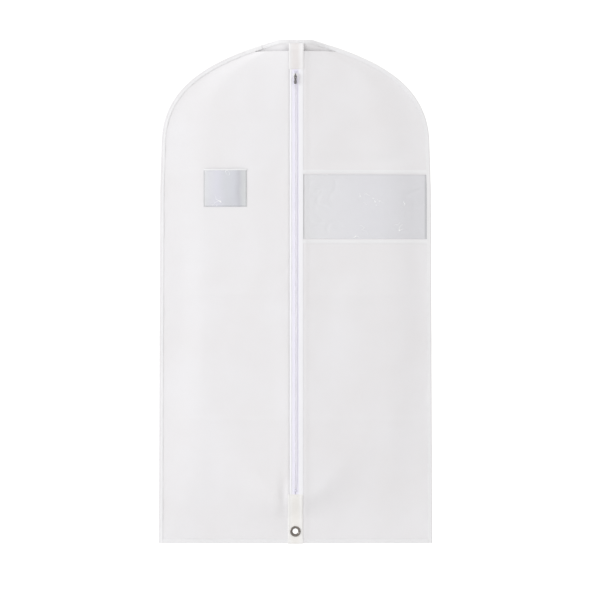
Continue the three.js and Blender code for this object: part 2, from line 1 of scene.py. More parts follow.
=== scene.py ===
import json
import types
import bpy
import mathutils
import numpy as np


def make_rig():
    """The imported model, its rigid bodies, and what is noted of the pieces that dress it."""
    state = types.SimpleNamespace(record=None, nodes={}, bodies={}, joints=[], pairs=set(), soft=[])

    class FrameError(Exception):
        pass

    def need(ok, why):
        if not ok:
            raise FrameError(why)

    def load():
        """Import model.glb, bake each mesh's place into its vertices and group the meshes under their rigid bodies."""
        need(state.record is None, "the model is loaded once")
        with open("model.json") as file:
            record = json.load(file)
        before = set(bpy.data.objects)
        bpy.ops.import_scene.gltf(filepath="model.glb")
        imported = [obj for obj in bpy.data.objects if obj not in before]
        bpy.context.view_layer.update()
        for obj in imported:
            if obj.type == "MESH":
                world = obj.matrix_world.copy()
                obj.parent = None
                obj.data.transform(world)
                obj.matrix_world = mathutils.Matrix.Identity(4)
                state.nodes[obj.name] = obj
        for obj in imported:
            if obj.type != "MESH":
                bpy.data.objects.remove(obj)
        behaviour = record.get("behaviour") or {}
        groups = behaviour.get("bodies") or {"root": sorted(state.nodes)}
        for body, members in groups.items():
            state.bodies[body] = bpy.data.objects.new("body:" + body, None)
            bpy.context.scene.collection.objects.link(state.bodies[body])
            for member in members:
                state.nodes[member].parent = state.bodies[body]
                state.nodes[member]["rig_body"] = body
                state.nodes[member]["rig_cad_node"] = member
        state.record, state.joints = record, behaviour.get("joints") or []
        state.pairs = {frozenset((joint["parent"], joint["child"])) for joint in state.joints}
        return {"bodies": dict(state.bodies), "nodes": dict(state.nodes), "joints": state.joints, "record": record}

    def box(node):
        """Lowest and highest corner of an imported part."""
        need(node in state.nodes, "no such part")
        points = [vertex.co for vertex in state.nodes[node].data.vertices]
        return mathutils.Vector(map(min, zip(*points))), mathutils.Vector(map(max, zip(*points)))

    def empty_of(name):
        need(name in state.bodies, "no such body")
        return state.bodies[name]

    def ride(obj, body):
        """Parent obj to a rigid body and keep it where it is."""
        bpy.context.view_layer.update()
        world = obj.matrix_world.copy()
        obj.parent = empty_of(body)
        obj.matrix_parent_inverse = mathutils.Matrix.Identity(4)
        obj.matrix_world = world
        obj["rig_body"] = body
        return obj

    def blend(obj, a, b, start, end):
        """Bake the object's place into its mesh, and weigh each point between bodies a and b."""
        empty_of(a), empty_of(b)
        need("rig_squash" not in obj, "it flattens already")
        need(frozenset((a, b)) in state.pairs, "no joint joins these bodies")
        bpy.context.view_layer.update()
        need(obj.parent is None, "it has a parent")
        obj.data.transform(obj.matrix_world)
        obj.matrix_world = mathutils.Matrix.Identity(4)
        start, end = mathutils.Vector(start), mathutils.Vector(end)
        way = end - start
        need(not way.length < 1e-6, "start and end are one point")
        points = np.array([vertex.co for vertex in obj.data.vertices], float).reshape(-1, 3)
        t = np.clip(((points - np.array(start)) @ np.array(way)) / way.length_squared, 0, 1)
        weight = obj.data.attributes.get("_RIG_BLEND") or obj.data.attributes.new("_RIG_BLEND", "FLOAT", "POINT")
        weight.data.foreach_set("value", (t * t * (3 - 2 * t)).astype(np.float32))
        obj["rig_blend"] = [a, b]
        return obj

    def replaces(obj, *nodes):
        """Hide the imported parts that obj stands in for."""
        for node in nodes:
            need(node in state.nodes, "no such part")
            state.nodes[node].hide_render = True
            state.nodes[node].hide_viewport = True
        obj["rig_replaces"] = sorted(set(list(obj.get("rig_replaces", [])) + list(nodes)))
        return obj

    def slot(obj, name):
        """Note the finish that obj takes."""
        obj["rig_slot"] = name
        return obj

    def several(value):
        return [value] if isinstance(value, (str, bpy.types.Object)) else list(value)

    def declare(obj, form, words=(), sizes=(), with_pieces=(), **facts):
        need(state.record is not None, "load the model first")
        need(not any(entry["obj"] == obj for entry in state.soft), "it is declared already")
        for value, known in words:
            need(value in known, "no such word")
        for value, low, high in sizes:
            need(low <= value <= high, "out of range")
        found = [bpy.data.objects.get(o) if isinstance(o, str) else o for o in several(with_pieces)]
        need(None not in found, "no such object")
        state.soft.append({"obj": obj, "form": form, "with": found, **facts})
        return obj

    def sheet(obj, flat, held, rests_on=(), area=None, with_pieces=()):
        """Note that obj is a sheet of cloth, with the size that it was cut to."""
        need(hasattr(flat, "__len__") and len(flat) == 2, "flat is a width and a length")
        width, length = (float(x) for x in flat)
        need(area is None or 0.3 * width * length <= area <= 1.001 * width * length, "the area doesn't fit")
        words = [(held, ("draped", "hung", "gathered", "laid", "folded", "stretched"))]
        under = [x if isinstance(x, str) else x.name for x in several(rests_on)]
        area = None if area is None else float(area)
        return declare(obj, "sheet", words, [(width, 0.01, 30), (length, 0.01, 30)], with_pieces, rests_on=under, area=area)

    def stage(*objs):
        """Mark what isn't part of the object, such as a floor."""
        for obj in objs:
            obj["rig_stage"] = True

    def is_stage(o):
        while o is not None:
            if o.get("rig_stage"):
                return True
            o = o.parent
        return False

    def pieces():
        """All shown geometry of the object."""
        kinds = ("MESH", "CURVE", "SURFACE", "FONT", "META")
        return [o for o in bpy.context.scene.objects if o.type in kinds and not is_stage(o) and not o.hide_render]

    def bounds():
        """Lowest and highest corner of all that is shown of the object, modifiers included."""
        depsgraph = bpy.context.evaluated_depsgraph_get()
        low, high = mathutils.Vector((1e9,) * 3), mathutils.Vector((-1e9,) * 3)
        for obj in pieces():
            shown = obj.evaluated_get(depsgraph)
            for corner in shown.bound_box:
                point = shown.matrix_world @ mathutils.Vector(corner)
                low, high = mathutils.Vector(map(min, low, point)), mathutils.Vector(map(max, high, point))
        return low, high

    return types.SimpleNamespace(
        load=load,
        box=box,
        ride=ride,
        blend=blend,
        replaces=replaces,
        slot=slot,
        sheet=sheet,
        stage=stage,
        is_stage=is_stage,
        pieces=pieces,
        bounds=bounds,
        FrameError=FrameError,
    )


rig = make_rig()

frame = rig.load()

cad_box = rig.bounds()

import json
import math

import bpy
import numpy as np
from mathutils import Vector, geometry, noise


# ----------------------------------------------------------------------
# Back panel: one flat piece of white embossed non-woven cloth, cut to the bag's whole outline.
# Everything else is sewn to it round the edge, and it folds backwards at mid height.

BAG_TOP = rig.box("neck_binding")[1].z
BAG_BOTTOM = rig.box("hem_binding")[0].z
HEM_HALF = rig.box("binding_right_lower")[1].x
BACK_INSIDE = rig.box("back_panel_upper")[0].y

# The outline's right half: a short flat at the neck, a shoulder curve, and a side that is almost
# straight once it has passed the hips
NECK_HALF = 0.03675
SHOULDER_REACH = 0.182
SHOULDER_SLOPE = 0.268
SHOULDER_DROP = 0.2335
SIDE_REACH = 0.1146
SIDE_HALF = 0.296
HIP_HALF = 0.299
HIP_Z = -0.33

shoulder = geometry.interpolate_bezier(
    Vector((NECK_HALF, 0, BAG_TOP)),
    Vector((NECK_HALF + SHOULDER_REACH, 0, BAG_TOP - SHOULDER_REACH * SHOULDER_SLOPE)),
    Vector((SIDE_HALF, 0, BAG_TOP - SHOULDER_DROP + SIDE_REACH)),
    Vector((SIDE_HALF, 0, BAG_TOP - SHOULDER_DROP)),
    120,
)
side_corners = [
    Vector((SIDE_HALF, 0, BAG_TOP - SHOULDER_DROP)),
    Vector((HIP_HALF, 0, HIP_Z)),
    Vector((HEM_HALF, 0, BAG_BOTTOM)),
]
side_line = [
    start.lerp(end, step / 90)
    for start, end in zip(side_corners, side_corners[1:]) for step in range(1, 91)
]
edge = np.array([(0, BAG_TOP)] + [(p.x, p.z) for p in [*shoulder, *side_line]])
edge_run = np.concatenate([[0], np.cumsum(np.linalg.norm(np.diff(edge, axis=0), axis=1))])
heading = np.gradient(edge, edge_run, axis=0)
heading /= np.linalg.norm(heading, axis=1)[:, None]
outward = np.stack([-heading[:, 1], heading[:, 0]], axis=1)


def half_width(z, inset):
    line = edge - inset * outward
    return float(np.interp(-z, -line[:, 1], line[:, 0]))


def smooth(t):
    t = min(max(t, 0.0), 1.0)
    return t * t * (3 - 2 * t)


def lerp(a, b, t):
    return a + (b - a) * t


def select_only(piece):
    bpy.ops.object.select_all(action="DESELECT")
    piece.select_set(True)
    bpy.context.view_layer.objects.active = piece


def apply_modifier(piece, kind, **settings):
    select_only(piece)
    modifier = piece.modifiers.new(kind.title(), kind)
    for name, value in settings.items():
        setattr(modifier, name, value)
    bpy.ops.object.modifier_apply(modifier=modifier.name)


def cloth_piece(name, columns, rows, place, thickness):
    """A grid laid point by point at place(across, down), each from 0 to 1, and thickened backwards."""
    bpy.ops.object.select_all(action="DESELECT")
    bpy.ops.mesh.primitive_grid_add(x_subdivisions=columns, y_subdivisions=rows, size=1)
    piece = bpy.context.object
    piece.name = name
    for vertex in piece.data.vertices:
        vertex.co = place(vertex.co.x + 0.5, 0.5 - vertex.co.y)
    apply_modifier(piece, "SOLIDIFY", thickness=thickness, offset=-1, use_even_offset=True)
    select_only(piece)
    bpy.ops.object.shade_smooth_by_angle(angle=math.radians(50))
    return piece


def set_inputs(tree, target, inputs):
    """Sets a node's inputs: a socket is linked to them, and anything else is their value."""
    for name, value in inputs.items():
        if isinstance(value, bpy.types.NodeSocket):
            tree.links.new(value, target.inputs[name])
        else:
            target.inputs[name].default_value = value


def node(tree, kind, inputs, **settings):
    made = tree.nodes.new(kind)
    for name, value in settings.items():
        setattr(made, name, value)
    set_inputs(tree, made, inputs)
    return made


def math_node(tree, operation, a, b=0.0):
    return node(tree, "ShaderNodeMath", {0: a, 1: b}, operation=operation).outputs[0]


def speckle(tree, place, scale, detail, distortion=0.0, roughness=0.5, seed=None):
    """Uneven patches or fibres, from 0 to 1. Another seed gives another pattern."""
    inputs = {
        "Vector": place, "Scale": scale, "Detail": detail, "Distortion": distortion, "Roughness": roughness}
    if seed is None:
        return node(tree, "ShaderNodeTexNoise", inputs).outputs["Fac"]
    return node(tree, "ShaderNodeTexNoise", {**inputs, "W": seed}, noise_dimensions="4D").outputs["Fac"]


def colour_ramp(tree, factor, stops):
    """Colours for a factor from 0 to 1, each given with its position."""
    made = node(tree, "ShaderNodeValToRGB", {"Fac": factor})
    elements = made.color_ramp.elements
    for i, (position, colour) in enumerate(stops):
        stop = elements[i] if i < 2 else elements.new(position)
        stop.position = position
        stop.color = (*colour, 1)
    return made.outputs["Color"]


def bumps(tree, height, strength, depth):
    inputs = {"Height": height, "Strength": strength, "Distance": depth}
    return node(tree, "ShaderNodeBump", inputs).outputs["Normal"]


def new_finish(name):
    """A new material: itself, its tree, its shader and the place on the piece."""
    material = bpy.data.materials.new(name)
    material.use_nodes = True
    tree = material.node_tree
    place = node(tree, "ShaderNodeTexCoord", {}).outputs["Object"]
    return material, tree, tree.nodes["Principled BSDF"], place


def surface_group(name, values, surface):
    """A surface that several finishes share: surface(tree, given) returns what it puts out, by name."""
    tree = bpy.data.node_groups.new(name, "ShaderNodeTree")
    tree.interface.new_socket("Vector", in_out="INPUT", socket_type="NodeSocketVector")
    for value in values:
        tree.interface.new_socket(value, in_out="INPUT", socket_type="NodeSocketFloat")
    made = surface(tree, tree.nodes.new("NodeGroupInput").outputs)
    for value in made:
        tree.interface.new_socket(value, in_out="OUTPUT", socket_type="NodeSocketFloat")
    set_inputs(tree, tree.nodes.new("NodeGroupOutput"), made)
    return tree


def embossed_cloth(tree, given):
    """Bonded fibres: rows of small pressed points between fluffy fibres, and a slow unevenness in tone."""
    axes = node(tree, "ShaderNodeSeparateXYZ", {0: given["Vector"]}).outputs
    turn = math_node(tree, "MULTIPLY", given["Points Per Metre"], math.pi)
    waves = [math_node(tree, "SINE", math_node(tree, "MULTIPLY", axes[axis], turn)) for axis in ("X", "Z")]
    points = math_node(tree, "POWER", math_node(tree, "ABSOLUTE", math_node(tree, "MULTIPLY", *waves)), 2.0)
    pressed = math_node(tree, "MULTIPLY", points, 0.7)
    fibres = math_node(tree, "MULTIPLY", speckle(tree, given["Vector"], 900.0, 3.0, 1.5, 0.6), 0.6)
    return {
        "Height": math_node(tree, "SUBTRACT", fibres, pressed),
        "Tone": speckle(tree, given["Vector"], 7.0, 4.0, roughness=0.55),
    }


EMBOSSED_CLOTH = surface_group("embossed_cloth", ["Points Per Metre"], embossed_cloth)


def cloth_finish(name, light, dark, roughness=0.72, bump=0.5, points=520.0):
    material, tree, shader, place = new_finish(name)
    given = {"Vector": place, "Points Per Metre": points}
    cloth = node(tree, "ShaderNodeGroup", given, node_tree=EMBOSSED_CLOTH).outputs
    set_inputs(tree, shader, {
        "Base Color": colour_ramp(tree, cloth["Tone"], [(0.3, dark), (0.7, light)]),
        "Normal": bumps(tree, cloth["Height"], bump, 0.0002),
        "Roughness": roughness, "Sheen Weight": 0.08, "Specular IOR Level": 0.3,
    })
    return material


PANEL_CLOTH = cloth_finish("panel_cloth", (0.875, 0.862, 0.878), (0.85, 0.83, 0.838))

CLOTH_THICKNESS = 0.0005
CLOTH_INSET = 0.0012  # the cloth's cut edge lies just inside the binding
PACKING_CREASES = (-0.29, -0.562, -0.838)  # heights of the folds left by the bag's packaging


def uneven(x, y, z):
    """A smooth irregular value, about -1 to 1, that belongs to a place."""
    return noise.noise(Vector((x, y, z)))


def slow_waves(x, z, seed):
    """Soft hollows and drapes in hanging cloth, about a millimetre deep."""
    return (
        0.0016 * uneven(x * 5.0, z * 3.0, seed)
        + 0.0009 * uneven(x * 15.0, z * 2.2, seed + 7)
        + 0.0005 * uneven(x * 19.0, z * 16.0, seed + 13)
    )


def packing_crease(x, z, seed):
    """Sharp shallow ridges where the cloth was folded flat in its packet."""
    ridge = 0.0
    for i, height in enumerate(PACKING_CREASES):
        wander = 0.002 * uneven(x * 7.0, seed, i)
        ridge += 0.0007 * math.exp(-abs(z - height - wander) / 0.007)
    return ridge


def neck_sag(x, z):
    """The back's neck leans forward a little, towards the zip's top end."""
    return 0.009 * smooth((0.074 - abs(x)) / 0.055) * smooth((z - BAG_TOP + 0.085) / 0.07)


def back_y(x, z):
    inside_edge = min(half_width(z, 0) - abs(x), z - BAG_BOTTOM, 0.05)
    ease = smooth((inside_edge - 0.012) / 0.038)
    relief = ease * (0.5 * slow_waves(x, z, 31.0) + packing_crease(x, z, 3.0) - 0.0006)
    return BACK_INSIDE + relief - neck_sag(x, z)


def back_place(across, down):
    z = lerp(BAG_TOP - CLOTH_INSET, BAG_BOTTOM + CLOTH_INSET, down)
    x = lerp(-1, 1, across) * half_width(z, CLOTH_INSET)
    return x, back_y(x, z), z


def cut_size(top, bottom, width_at):
    """The flat size and area of a piece of cloth whose width changes down its length."""
    widths = [width_at(z) for z in np.linspace(top, bottom, 240)]
    return {"flat": (max(widths), top - bottom), "area": float(np.mean(widths)) * (top - bottom)}


back_panel = cloth_piece("back_panel", 96, 236, back_place, CLOTH_THICKNESS)
back_panel.data.materials.append(PANEL_CLOTH)
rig.sheet(
    back_panel, held="hung", rests_on=["neck_tape", "binding_left", "binding_right"],
    **cut_size(BAG_TOP - CLOTH_INSET, BAG_BOTTOM + CLOTH_INSET, lambda z: 2 * half_width(z, CLOTH_INSET)))


# ----------------------------------------------------------------------
# Front panels: two halves of the same cloth, sewn to the zip tape in the middle and under the
# binding outside. The right one is cut through by the window, so it is two pieces of cloth.

MOUTH_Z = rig.box("front_left_upper")[1].z
FOLD_Z = (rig.box("back_panel_upper")[0].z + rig.box("back_panel_lower")[1].z) / 2
FOLD_REACH = 0.045  # the cloth bends over this height above and below the fold line
FRONT_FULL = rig.box("front_left_upper")[0].y
FRONT_AT_SEAM = BACK_INSIDE - 0.0014
SEAM_INSET = 0.010
CENTRE_HALF = 0.017  # half the band that the zip holds flat
CLOTH_TO_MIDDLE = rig.box("front_right_upper")[0].x
HEM_RAMP_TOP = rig.box("zip_tape_left_lower")[0].z
WINDOW_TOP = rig.box("window_film")[1].z
HEM_RAMP_BOTTOM = HEM_RAMP_TOP - 0.057


def fullness(x, z):
    """How far the front stands off the back: 0 at the seam, 1 along the zip."""
    reach = max(half_width(z, SEAM_INSET) - CENTRE_HALF, 0.001)
    up = 1 - (abs(x) - CENTRE_HALF) / reach
    rise = 0.66 * min(max(up, 0), 1) + 0.34 * smooth(up * 2.8)
    slack = smooth((abs(x) - CENTRE_HALF) / 0.18)
    foot = lerp(HEM_RAMP_BOTTOM, BAG_BOTTOM + SEAM_INSET, slack)
    knee = lerp(HEM_RAMP_TOP, HEM_RAMP_TOP + 0.16, slack)
    closed = 0.15 * smooth((abs(x) - 0.018) / 0.07) * (1 - smooth((MOUTH_Z - z) / 0.16))
    return rise * (1 - closed) * smooth((z - foot) / (knee - foot))


def seam_puckers(x, z, seed):
    """Fine gathers beside a sewn edge, running across it."""
    from_edge = half_width(z, SEAM_INSET) - abs(x)
    from_zip = abs(x) - CENTRE_HALF
    from_hem = z - BAG_BOTTOM - SEAM_INSET
    along_side = uneven(seed, z * 42.0, x * 6.0) * math.exp(-max(from_edge, 0) / 0.016)
    along_zip = uneven(seed + 3, z * 34.0, x * 5.0) * math.exp(-max(from_zip, 0) / 0.014)
    along_hem = uneven(x * 40.0, z * 6.0, seed + 6) * math.exp(-max(from_hem, 0) / 0.018)
    return 0.0007 * along_side + 0.0008 * along_zip + 0.0007 * along_hem


def bump_at(value, middle, reach):
    return math.exp(-(((value - middle) / reach) ** 2))


def beside_zip(x, z):
    """The left panel is tucked in under the zip's edging; the right one lies up against it."""
    if x > 0:
        return -0.0009 * bump_at(x, 0.0215, 0.006)
    hem_hollow = 0.0030 * bump_at(x, -0.026, 0.009) * bump_at(z, HEM_RAMP_TOP - 0.01, 0.045)
    return fullness(x, z) * (0.0008 * smooth((x + 0.0155) / 0.003) + hem_hollow)


def above_window(x, z):
    """A shallow valley where the cloth's weight hangs on the window's stiffer upper edge."""
    across = smooth((x - 0.03) / 0.05) * smooth((0.26 - x) / 0.05)
    return 0.0016 * bump_at(z, WINDOW_TOP + 0.026, 0.014) * across


def front_y(x, z):
    seed = 11.0 if x < 0 else 23.0
    from_edge = min(half_width(z, SEAM_INSET) - abs(x), z - BAG_BOTTOM - SEAM_INSET)
    ease = smooth(from_edge / 0.05) * smooth((abs(x) - CENTRE_HALF) / 0.03)
    near = smooth(from_edge / 0.006) * smooth((abs(x) - CENTRE_HALF) / 0.006)
    relief = ease * (slow_waves(x, z, seed) - packing_crease(x, z, seed)) + near * seam_puckers(x, z, seed)
    return lerp(FRONT_AT_SEAM, FRONT_FULL, fullness(x, z)) + relief + beside_zip(x, z) + above_window(x, z)


def crowd_ends(t):
    """Spaces a grid's columns closer together at both of its ends."""
    return lerp(t, (1 - math.cos(math.pi * t)) / 2, 0.8)


def front_place(side, top, bottom):
    def place(across, down):
        z = lerp(top, bottom, down)
        reach = across if side > 0 else 1 - across
        x = side * lerp(CLOTH_TO_MIDDLE, half_width(z, CLOTH_INSET), crowd_ends(reach))
        return x, front_y(x, z), z
    return place


def across_fold(piece):
    """The piece bends where the bag folds in half."""
    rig.blend(
        piece, "upper_bag", "lower_bag",
        start=(0, 0, FOLD_Z + FOLD_REACH), end=(0, 0, FOLD_Z - FOLD_REACH),
    )


def front_width(z):
    return half_width(z, CLOTH_INSET) - CLOTH_TO_MIDDLE


CLOTH_BOTTOM = BAG_BOTTOM + CLOTH_INSET
WINDOW_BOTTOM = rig.box("window_film")[0].z
WINDOW_LAP = 0.004  # the cloth runs this far over the film's edges
SHOULDER_END = WINDOW_TOP - WINDOW_LAP
SKIRT_TOP = WINDOW_BOTTOM + WINDOW_LAP

front_left = cloth_piece(
    "front_left_panel", 56, 236, front_place(-1, MOUTH_Z, CLOTH_BOTTOM), CLOTH_THICKNESS)
front_shoulder = cloth_piece(
    "front_right_shoulder_panel", 56, 62, front_place(1, MOUTH_Z, SHOULDER_END), CLOTH_THICKNESS)
front_skirt = cloth_piece(
    "front_right_lower_panel", 56, 148, front_place(1, SKIRT_TOP, CLOTH_BOTTOM), CLOTH_THICKNESS)
for piece, nodes in (
    (front_left, ("front_left_upper", "front_left_lower")),
    (front_skirt, ("front_right_upper", "front_right_lower")),
):
    across_fold(piece)
    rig.replaces(piece, *nodes)
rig.ride(front_shoulder, "upper_bag")
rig.replaces(front_shoulder, "front_right_shoulder")
for piece, top, bottom, hung_from in (
    (front_left, MOUTH_Z, CLOTH_BOTTOM, "binding_left"),
    (front_shoulder, MOUTH_Z, SHOULDER_END, "binding_right"),
    (front_skirt, SKIRT_TOP, CLOTH_BOTTOM, "window_pane"),
):
    piece.data.materials.append(PANEL_CLOTH)
    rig.slot(piece, "cloth")
    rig.sheet(piece, held="hung", rests_on=[hung_from], **cut_size(top, bottom, front_width))


# ----------------------------------------------------------------------
# Window: one clear film across the whole right half, sewn in behind the cloth's edges. It has
# dents and a few sharp crinkles from handling, which catch the light.

FILM_THICKNESS = 0.00025


def crinkle(x, z, seed):
    """Shallow dents with sharp little rims, as in film that has been pressed."""
    dent = uneven(x * 22.0, z * 18.0, seed)
    rim = 1 - abs(uneven(x * 34.0, z * 30.0, seed + 4))
    patch = smooth((uneven(x * 9.0, z * 9.0, seed + 9) + 0.05) / 0.4)
    return 0.0005 * dent + 0.0009 * patch * max(rim - 0.86, 0) / 0.14


def spread(tree, value, low, high, start=0.0, end=1.0, **settings):
    """Turns values from low to high into values from start to end."""
    limits = {"From Min": low, "From Max": high, "To Min": start, "To Max": end}
    return node(tree, "ShaderNodeMapRange", {"Value": value, **limits}, **settings).outputs["Result"]


def handled_film(tree, given):
    """Smears and fine ripples all over, and sharp creases in a few patches; the crease lines also give painted glints.
    """
    place, seed = given["Vector"], given["Seed"]
    curls = math_node(tree, "SUBTRACT", speckle(tree, place, 30.0, 1.0, distortion=2.0, seed=seed), 0.5)
    crease_and_glint_line = spread(tree, math_node(tree, "ABSOLUTE", curls), 0.004, 0.012, 1.0, 0.0)
    patches = speckle(tree, place, 24.0, 0.0, seed=math_node(tree, "ADD", seed, 3.0))
    return {
        "Smears": speckle(tree, place, 16.0, 5.0, distortion=1.0),
        "Creases": math_node(tree, "MULTIPLY", crease_and_glint_line, spread(tree, patches, 0.64, 0.66)),
        "Ripples": speckle(tree, place, 60.0, 2.0),
    }


HANDLED_FILM = surface_group("handled_film", ["Seed"], handled_film)


def film_finish(name, low, high, bands, alpha, roughness, seed):
    """Clear film, a little hazy, with painted shade and reflection in tones across it, painted shade darkening its
    sewn edges, and painted glints as white marks on sharp creases.
    """
    material, tree, shader, place = new_finish(name)
    marks = node(tree, "ShaderNodeGroup", {"Vector": place, "Seed": seed}, node_tree=HANDLED_FILM).outputs
    axes = node(tree, "ShaderNodeSeparateXYZ", {0: place}).outputs
    drift = math_node(tree, "SUBTRACT", marks["Smears"], 0.5)
    drifted = math_node(tree, "ADD", axes["X"], math_node(tree, "MULTIPLY", drift, 0.10 * (high.x - low.x)))
    # Painted shade and reflection: the given bands make the film lighter or darker across its width, standing in for
    # how light falls on it.
    painted_tones = colour_ramp(tree, spread(tree, drifted, low.x, high.x), bands)

    to_edges = [
        math_node(tree, "ABSOLUTE", math_node(tree, "SUBTRACT", axes[axis], edge_at))
        for axis, edge_at in (("X", low.x), ("X", high.x), ("Z", low.z), ("Z", high.z))
    ]
    to_sides = math_node(tree, "MINIMUM", *to_edges[:2])
    nearest = math_node(tree, "MINIMUM", to_sides, math_node(tree, "MINIMUM", *to_edges[2:]))
    # Painted shade: the film darkens over the last three millimetres towards its sewn edges, where the cloth over them
    # would shade it.
    rim = spread(tree, nearest, 0.0016, 0.0032, 0.83, 1.0)
    edge_shaded = node(tree, "ShaderNodeVectorMath", {0: painted_tones, "Scale": rim}, operation="SCALE").outputs[0]
    # Painted glints: the sharp crease lines are drawn white and opaque, as highlights where the film would catch the
    # light.
    glint_whitened = {0: marks["Creases"], 6: edge_shaded, 7: (1, 1, 1, 1)}
    set_inputs(tree, shader, {
        "Base Color": node(tree, "ShaderNodeMix", glint_whitened, data_type="RGBA").outputs[2],
        "Alpha": spread(tree, marks["Creases"], 0.0, 1.0, alpha, 1.0),
        "Roughness": spread(tree, marks["Smears"], 0.35, 0.7, roughness, roughness + 0.14),
        "Normal": bumps(tree, math_node(tree, "ADD", marks["Ripples"], marks["Creases"]), 0.35, 0.0006),
        "IOR": 1.5, "Specular IOR Level": 0.6,
    })
    return material


WINDOW_LOW = Vector((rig.box("window_strip_top")[0].x, 0, WINDOW_BOTTOM + 0.0015))
WINDOW_HIGH = Vector((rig.box("window_strip_top")[1].x, 0, WINDOW_TOP - 0.0015))
# Painted shade: the window's film is lighter on its left and darker towards its right, as the light from the left
# falls across it.
WINDOW_FILM = film_finish(
    "window_film_finish", WINDOW_LOW, WINDOW_HIGH,
    [(0.0, (0.97, 0.965, 0.985)), (1.0, (0.89, 0.885, 0.915)), (0.5, (0.935, 0.93, 0.965))],
    alpha=0.76, roughness=0.07, seed=1.0)


FILM_TOP = WINDOW_TOP + WINDOW_LAP
FILM_BOTTOM = WINDOW_BOTTOM - WINDOW_LAP
FILM_GAP = 0.0002  # between the film and the cloth over its edges


def film_place(across, down):
    z = lerp(FILM_TOP, FILM_BOTTOM, down)
    x = lerp(CLOTH_TO_MIDDLE, half_width(z, CLOTH_INSET), across)
    from_seams = min(x - 0.02, half_width(z, 0.012) - x, WINDOW_TOP - 0.006 - z, z - WINDOW_BOTTOM - 0.006)
    dents = smooth(from_seams / 0.02) * crinkle(x, z, 5.0)
    return x, front_y(x, z) + CLOTH_THICKNESS + FILM_GAP + dents, z


window = cloth_piece("window_pane", 90, 54, film_place, FILM_THICKNESS)
window.data.materials.append(WINDOW_FILM)
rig.ride(window, "upper_bag")
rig.replaces(window, "window_film")
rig.slot(window, "film")
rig.sheet(window, held="hung", rests_on=[front_shoulder], **cut_size(FILM_TOP, FILM_BOTTOM, front_width))


# ----------------------------------------------------------------------
# Window strips: the cloth's turned edges above and below the window, pressed flat and sewn down
# through the film with a row of stitches each.

STRIP_CLOTH = cloth_finish("strip_cloth", (0.90, 0.895, 0.905), (0.87, 0.865, 0.875), bump=0.3)
STRIP_THICKNESS = 0.0005
SEWN_STEP = 0.0032  # from one stitch to the next
THREAD_FINISH = cloth_finish(
    "white_thread", (0.93, 0.93, 0.935), (0.88, 0.88, 0.89), roughness=0.6, bump=0.2)


def piece_from(name, points, faces):
    """A new piece from its points and faces."""
    mesh = bpy.data.meshes.new(name)
    mesh.from_pydata(points, [], faces)
    piece = bpy.data.objects.new(name, mesh)
    bpy.context.scene.collection.objects.link(piece)
    select_only(piece)
    return piece


def stitch_shape():
    """One stitch of thread lying along X, with pinched ends where it enters the cloth."""
    bpy.ops.object.select_all(action="DESELECT")
    bpy.ops.mesh.primitive_uv_sphere_add(segments=6, ring_count=5, radius=0.5, rotation=(0, math.pi / 2, 0))
    shape = bpy.context.object
    bpy.ops.object.transform_apply(location=True, rotation=True, scale=True)
    points = np.array([v.co for v in shape.data.vertices], float)
    faces = [tuple(p.vertices) for p in shape.data.polygons]
    bpy.data.objects.remove(shape)
    return points, faces


STITCH_POINTS, STITCH_FACES = stitch_shape()


def stitches(name, line, length=0.0025, thickness=0.0005):
    """A row of stitches along a line of points, each half sunk in the cloth."""
    line = np.array(line, float)
    run = np.concatenate([[0], np.cumsum(np.linalg.norm(np.diff(line, axis=0), axis=1))])
    points, faces = [], []
    for i in range(int(run[-1] / SEWN_STEP)):
        middle = (i + 0.5) * SEWN_STEP
        ends = [
            np.array([np.interp(middle + half, run, line[:, k]) for k in range(3)])
            for half in (-length / 2, length / 2)
        ]
        along = ends[1] - ends[0]
        along /= np.linalg.norm(along)
        across = np.cross(along, (0, 1, 0))
        across /= np.linalg.norm(across)
        upright = np.cross(across, along)
        turn = np.stack([along * length, across * thickness, upright * thickness], axis=0)
        faces += [tuple(v + len(points) * len(STITCH_POINTS) for v in f) for f in STITCH_FACES]
        points.append(STITCH_POINTS @ turn + (ends[0] + ends[1]) / 2)
    piece = piece_from(name, np.concatenate(points).tolist(), faces)
    bpy.ops.object.shade_smooth()
    piece.data.materials.append(THREAD_FINISH)
    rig.slot(piece, "binding")
    return piece


STRIP_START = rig.box("window_strip_top")[0].x
for label, node_name in (("top", "window_strip_top"), ("bottom", "window_strip_bottom")):
    low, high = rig.box(node_name)

    def strip_place(across, down, low=low, high=high):
        z = lerp(high.z, low.z, down)
        x = lerp(STRIP_START, half_width(z, SEAM_INSET - 0.002), across)
        rounding = 0.0003 * (2 * abs(down - 0.5)) ** 4
        return x, front_y(x, z) - STRIP_THICKNESS - 0.0002 + rounding, z

    strip = cloth_piece(f"window_{label}_strip", 70, 6, strip_place, STRIP_THICKNESS)
    strip.data.materials.append(STRIP_CLOTH)
    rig.ride(strip, "upper_bag")
    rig.replaces(strip, node_name)
    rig.slot(strip, "binding")
    middle = (low.z + high.z) / 2
    seam = stitches(f"window_{label}_stitches", [
        (x, front_y(x, middle) - STRIP_THICKNESS - 0.0002, middle)
        for x in np.linspace(STRIP_START, half_width(middle, SEAM_INSET), 80)
    ])
    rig.ride(seam, "upper_bag")


# ----------------------------------------------------------------------
# Card pocket: a small clear film, sewn to the left panel down both sides and along the bottom.
# Its mouth is at the top, where the film's edge is turned.

POCKET_LOW, POCKET_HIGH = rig.box("card_pocket_film")
# Painted shade and reflection: the pocket's film has upright bands. It is lighter and bluer left of the middle,
# darkest at about four fifths across, and lighter again at the right edge, as on a bowed film.
POCKET_FILM = film_finish(
    "pocket_film_finish", POCKET_LOW, POCKET_HIGH,
    [(0.0, (0.91, 0.915, 0.93)), (1.0, (0.89, 0.90, 0.91)), (0.30, (0.91, 0.905, 0.98)),
     (0.52, (0.84, 0.85, 0.89)), (0.72, (0.82, 0.825, 0.88)), (0.82, (0.75, 0.75, 0.80)),
     (0.90, (0.84, 0.85, 0.87))],
    alpha=0.72, roughness=0.1, seed=6.0)
POCKET_BOW = 0.0022


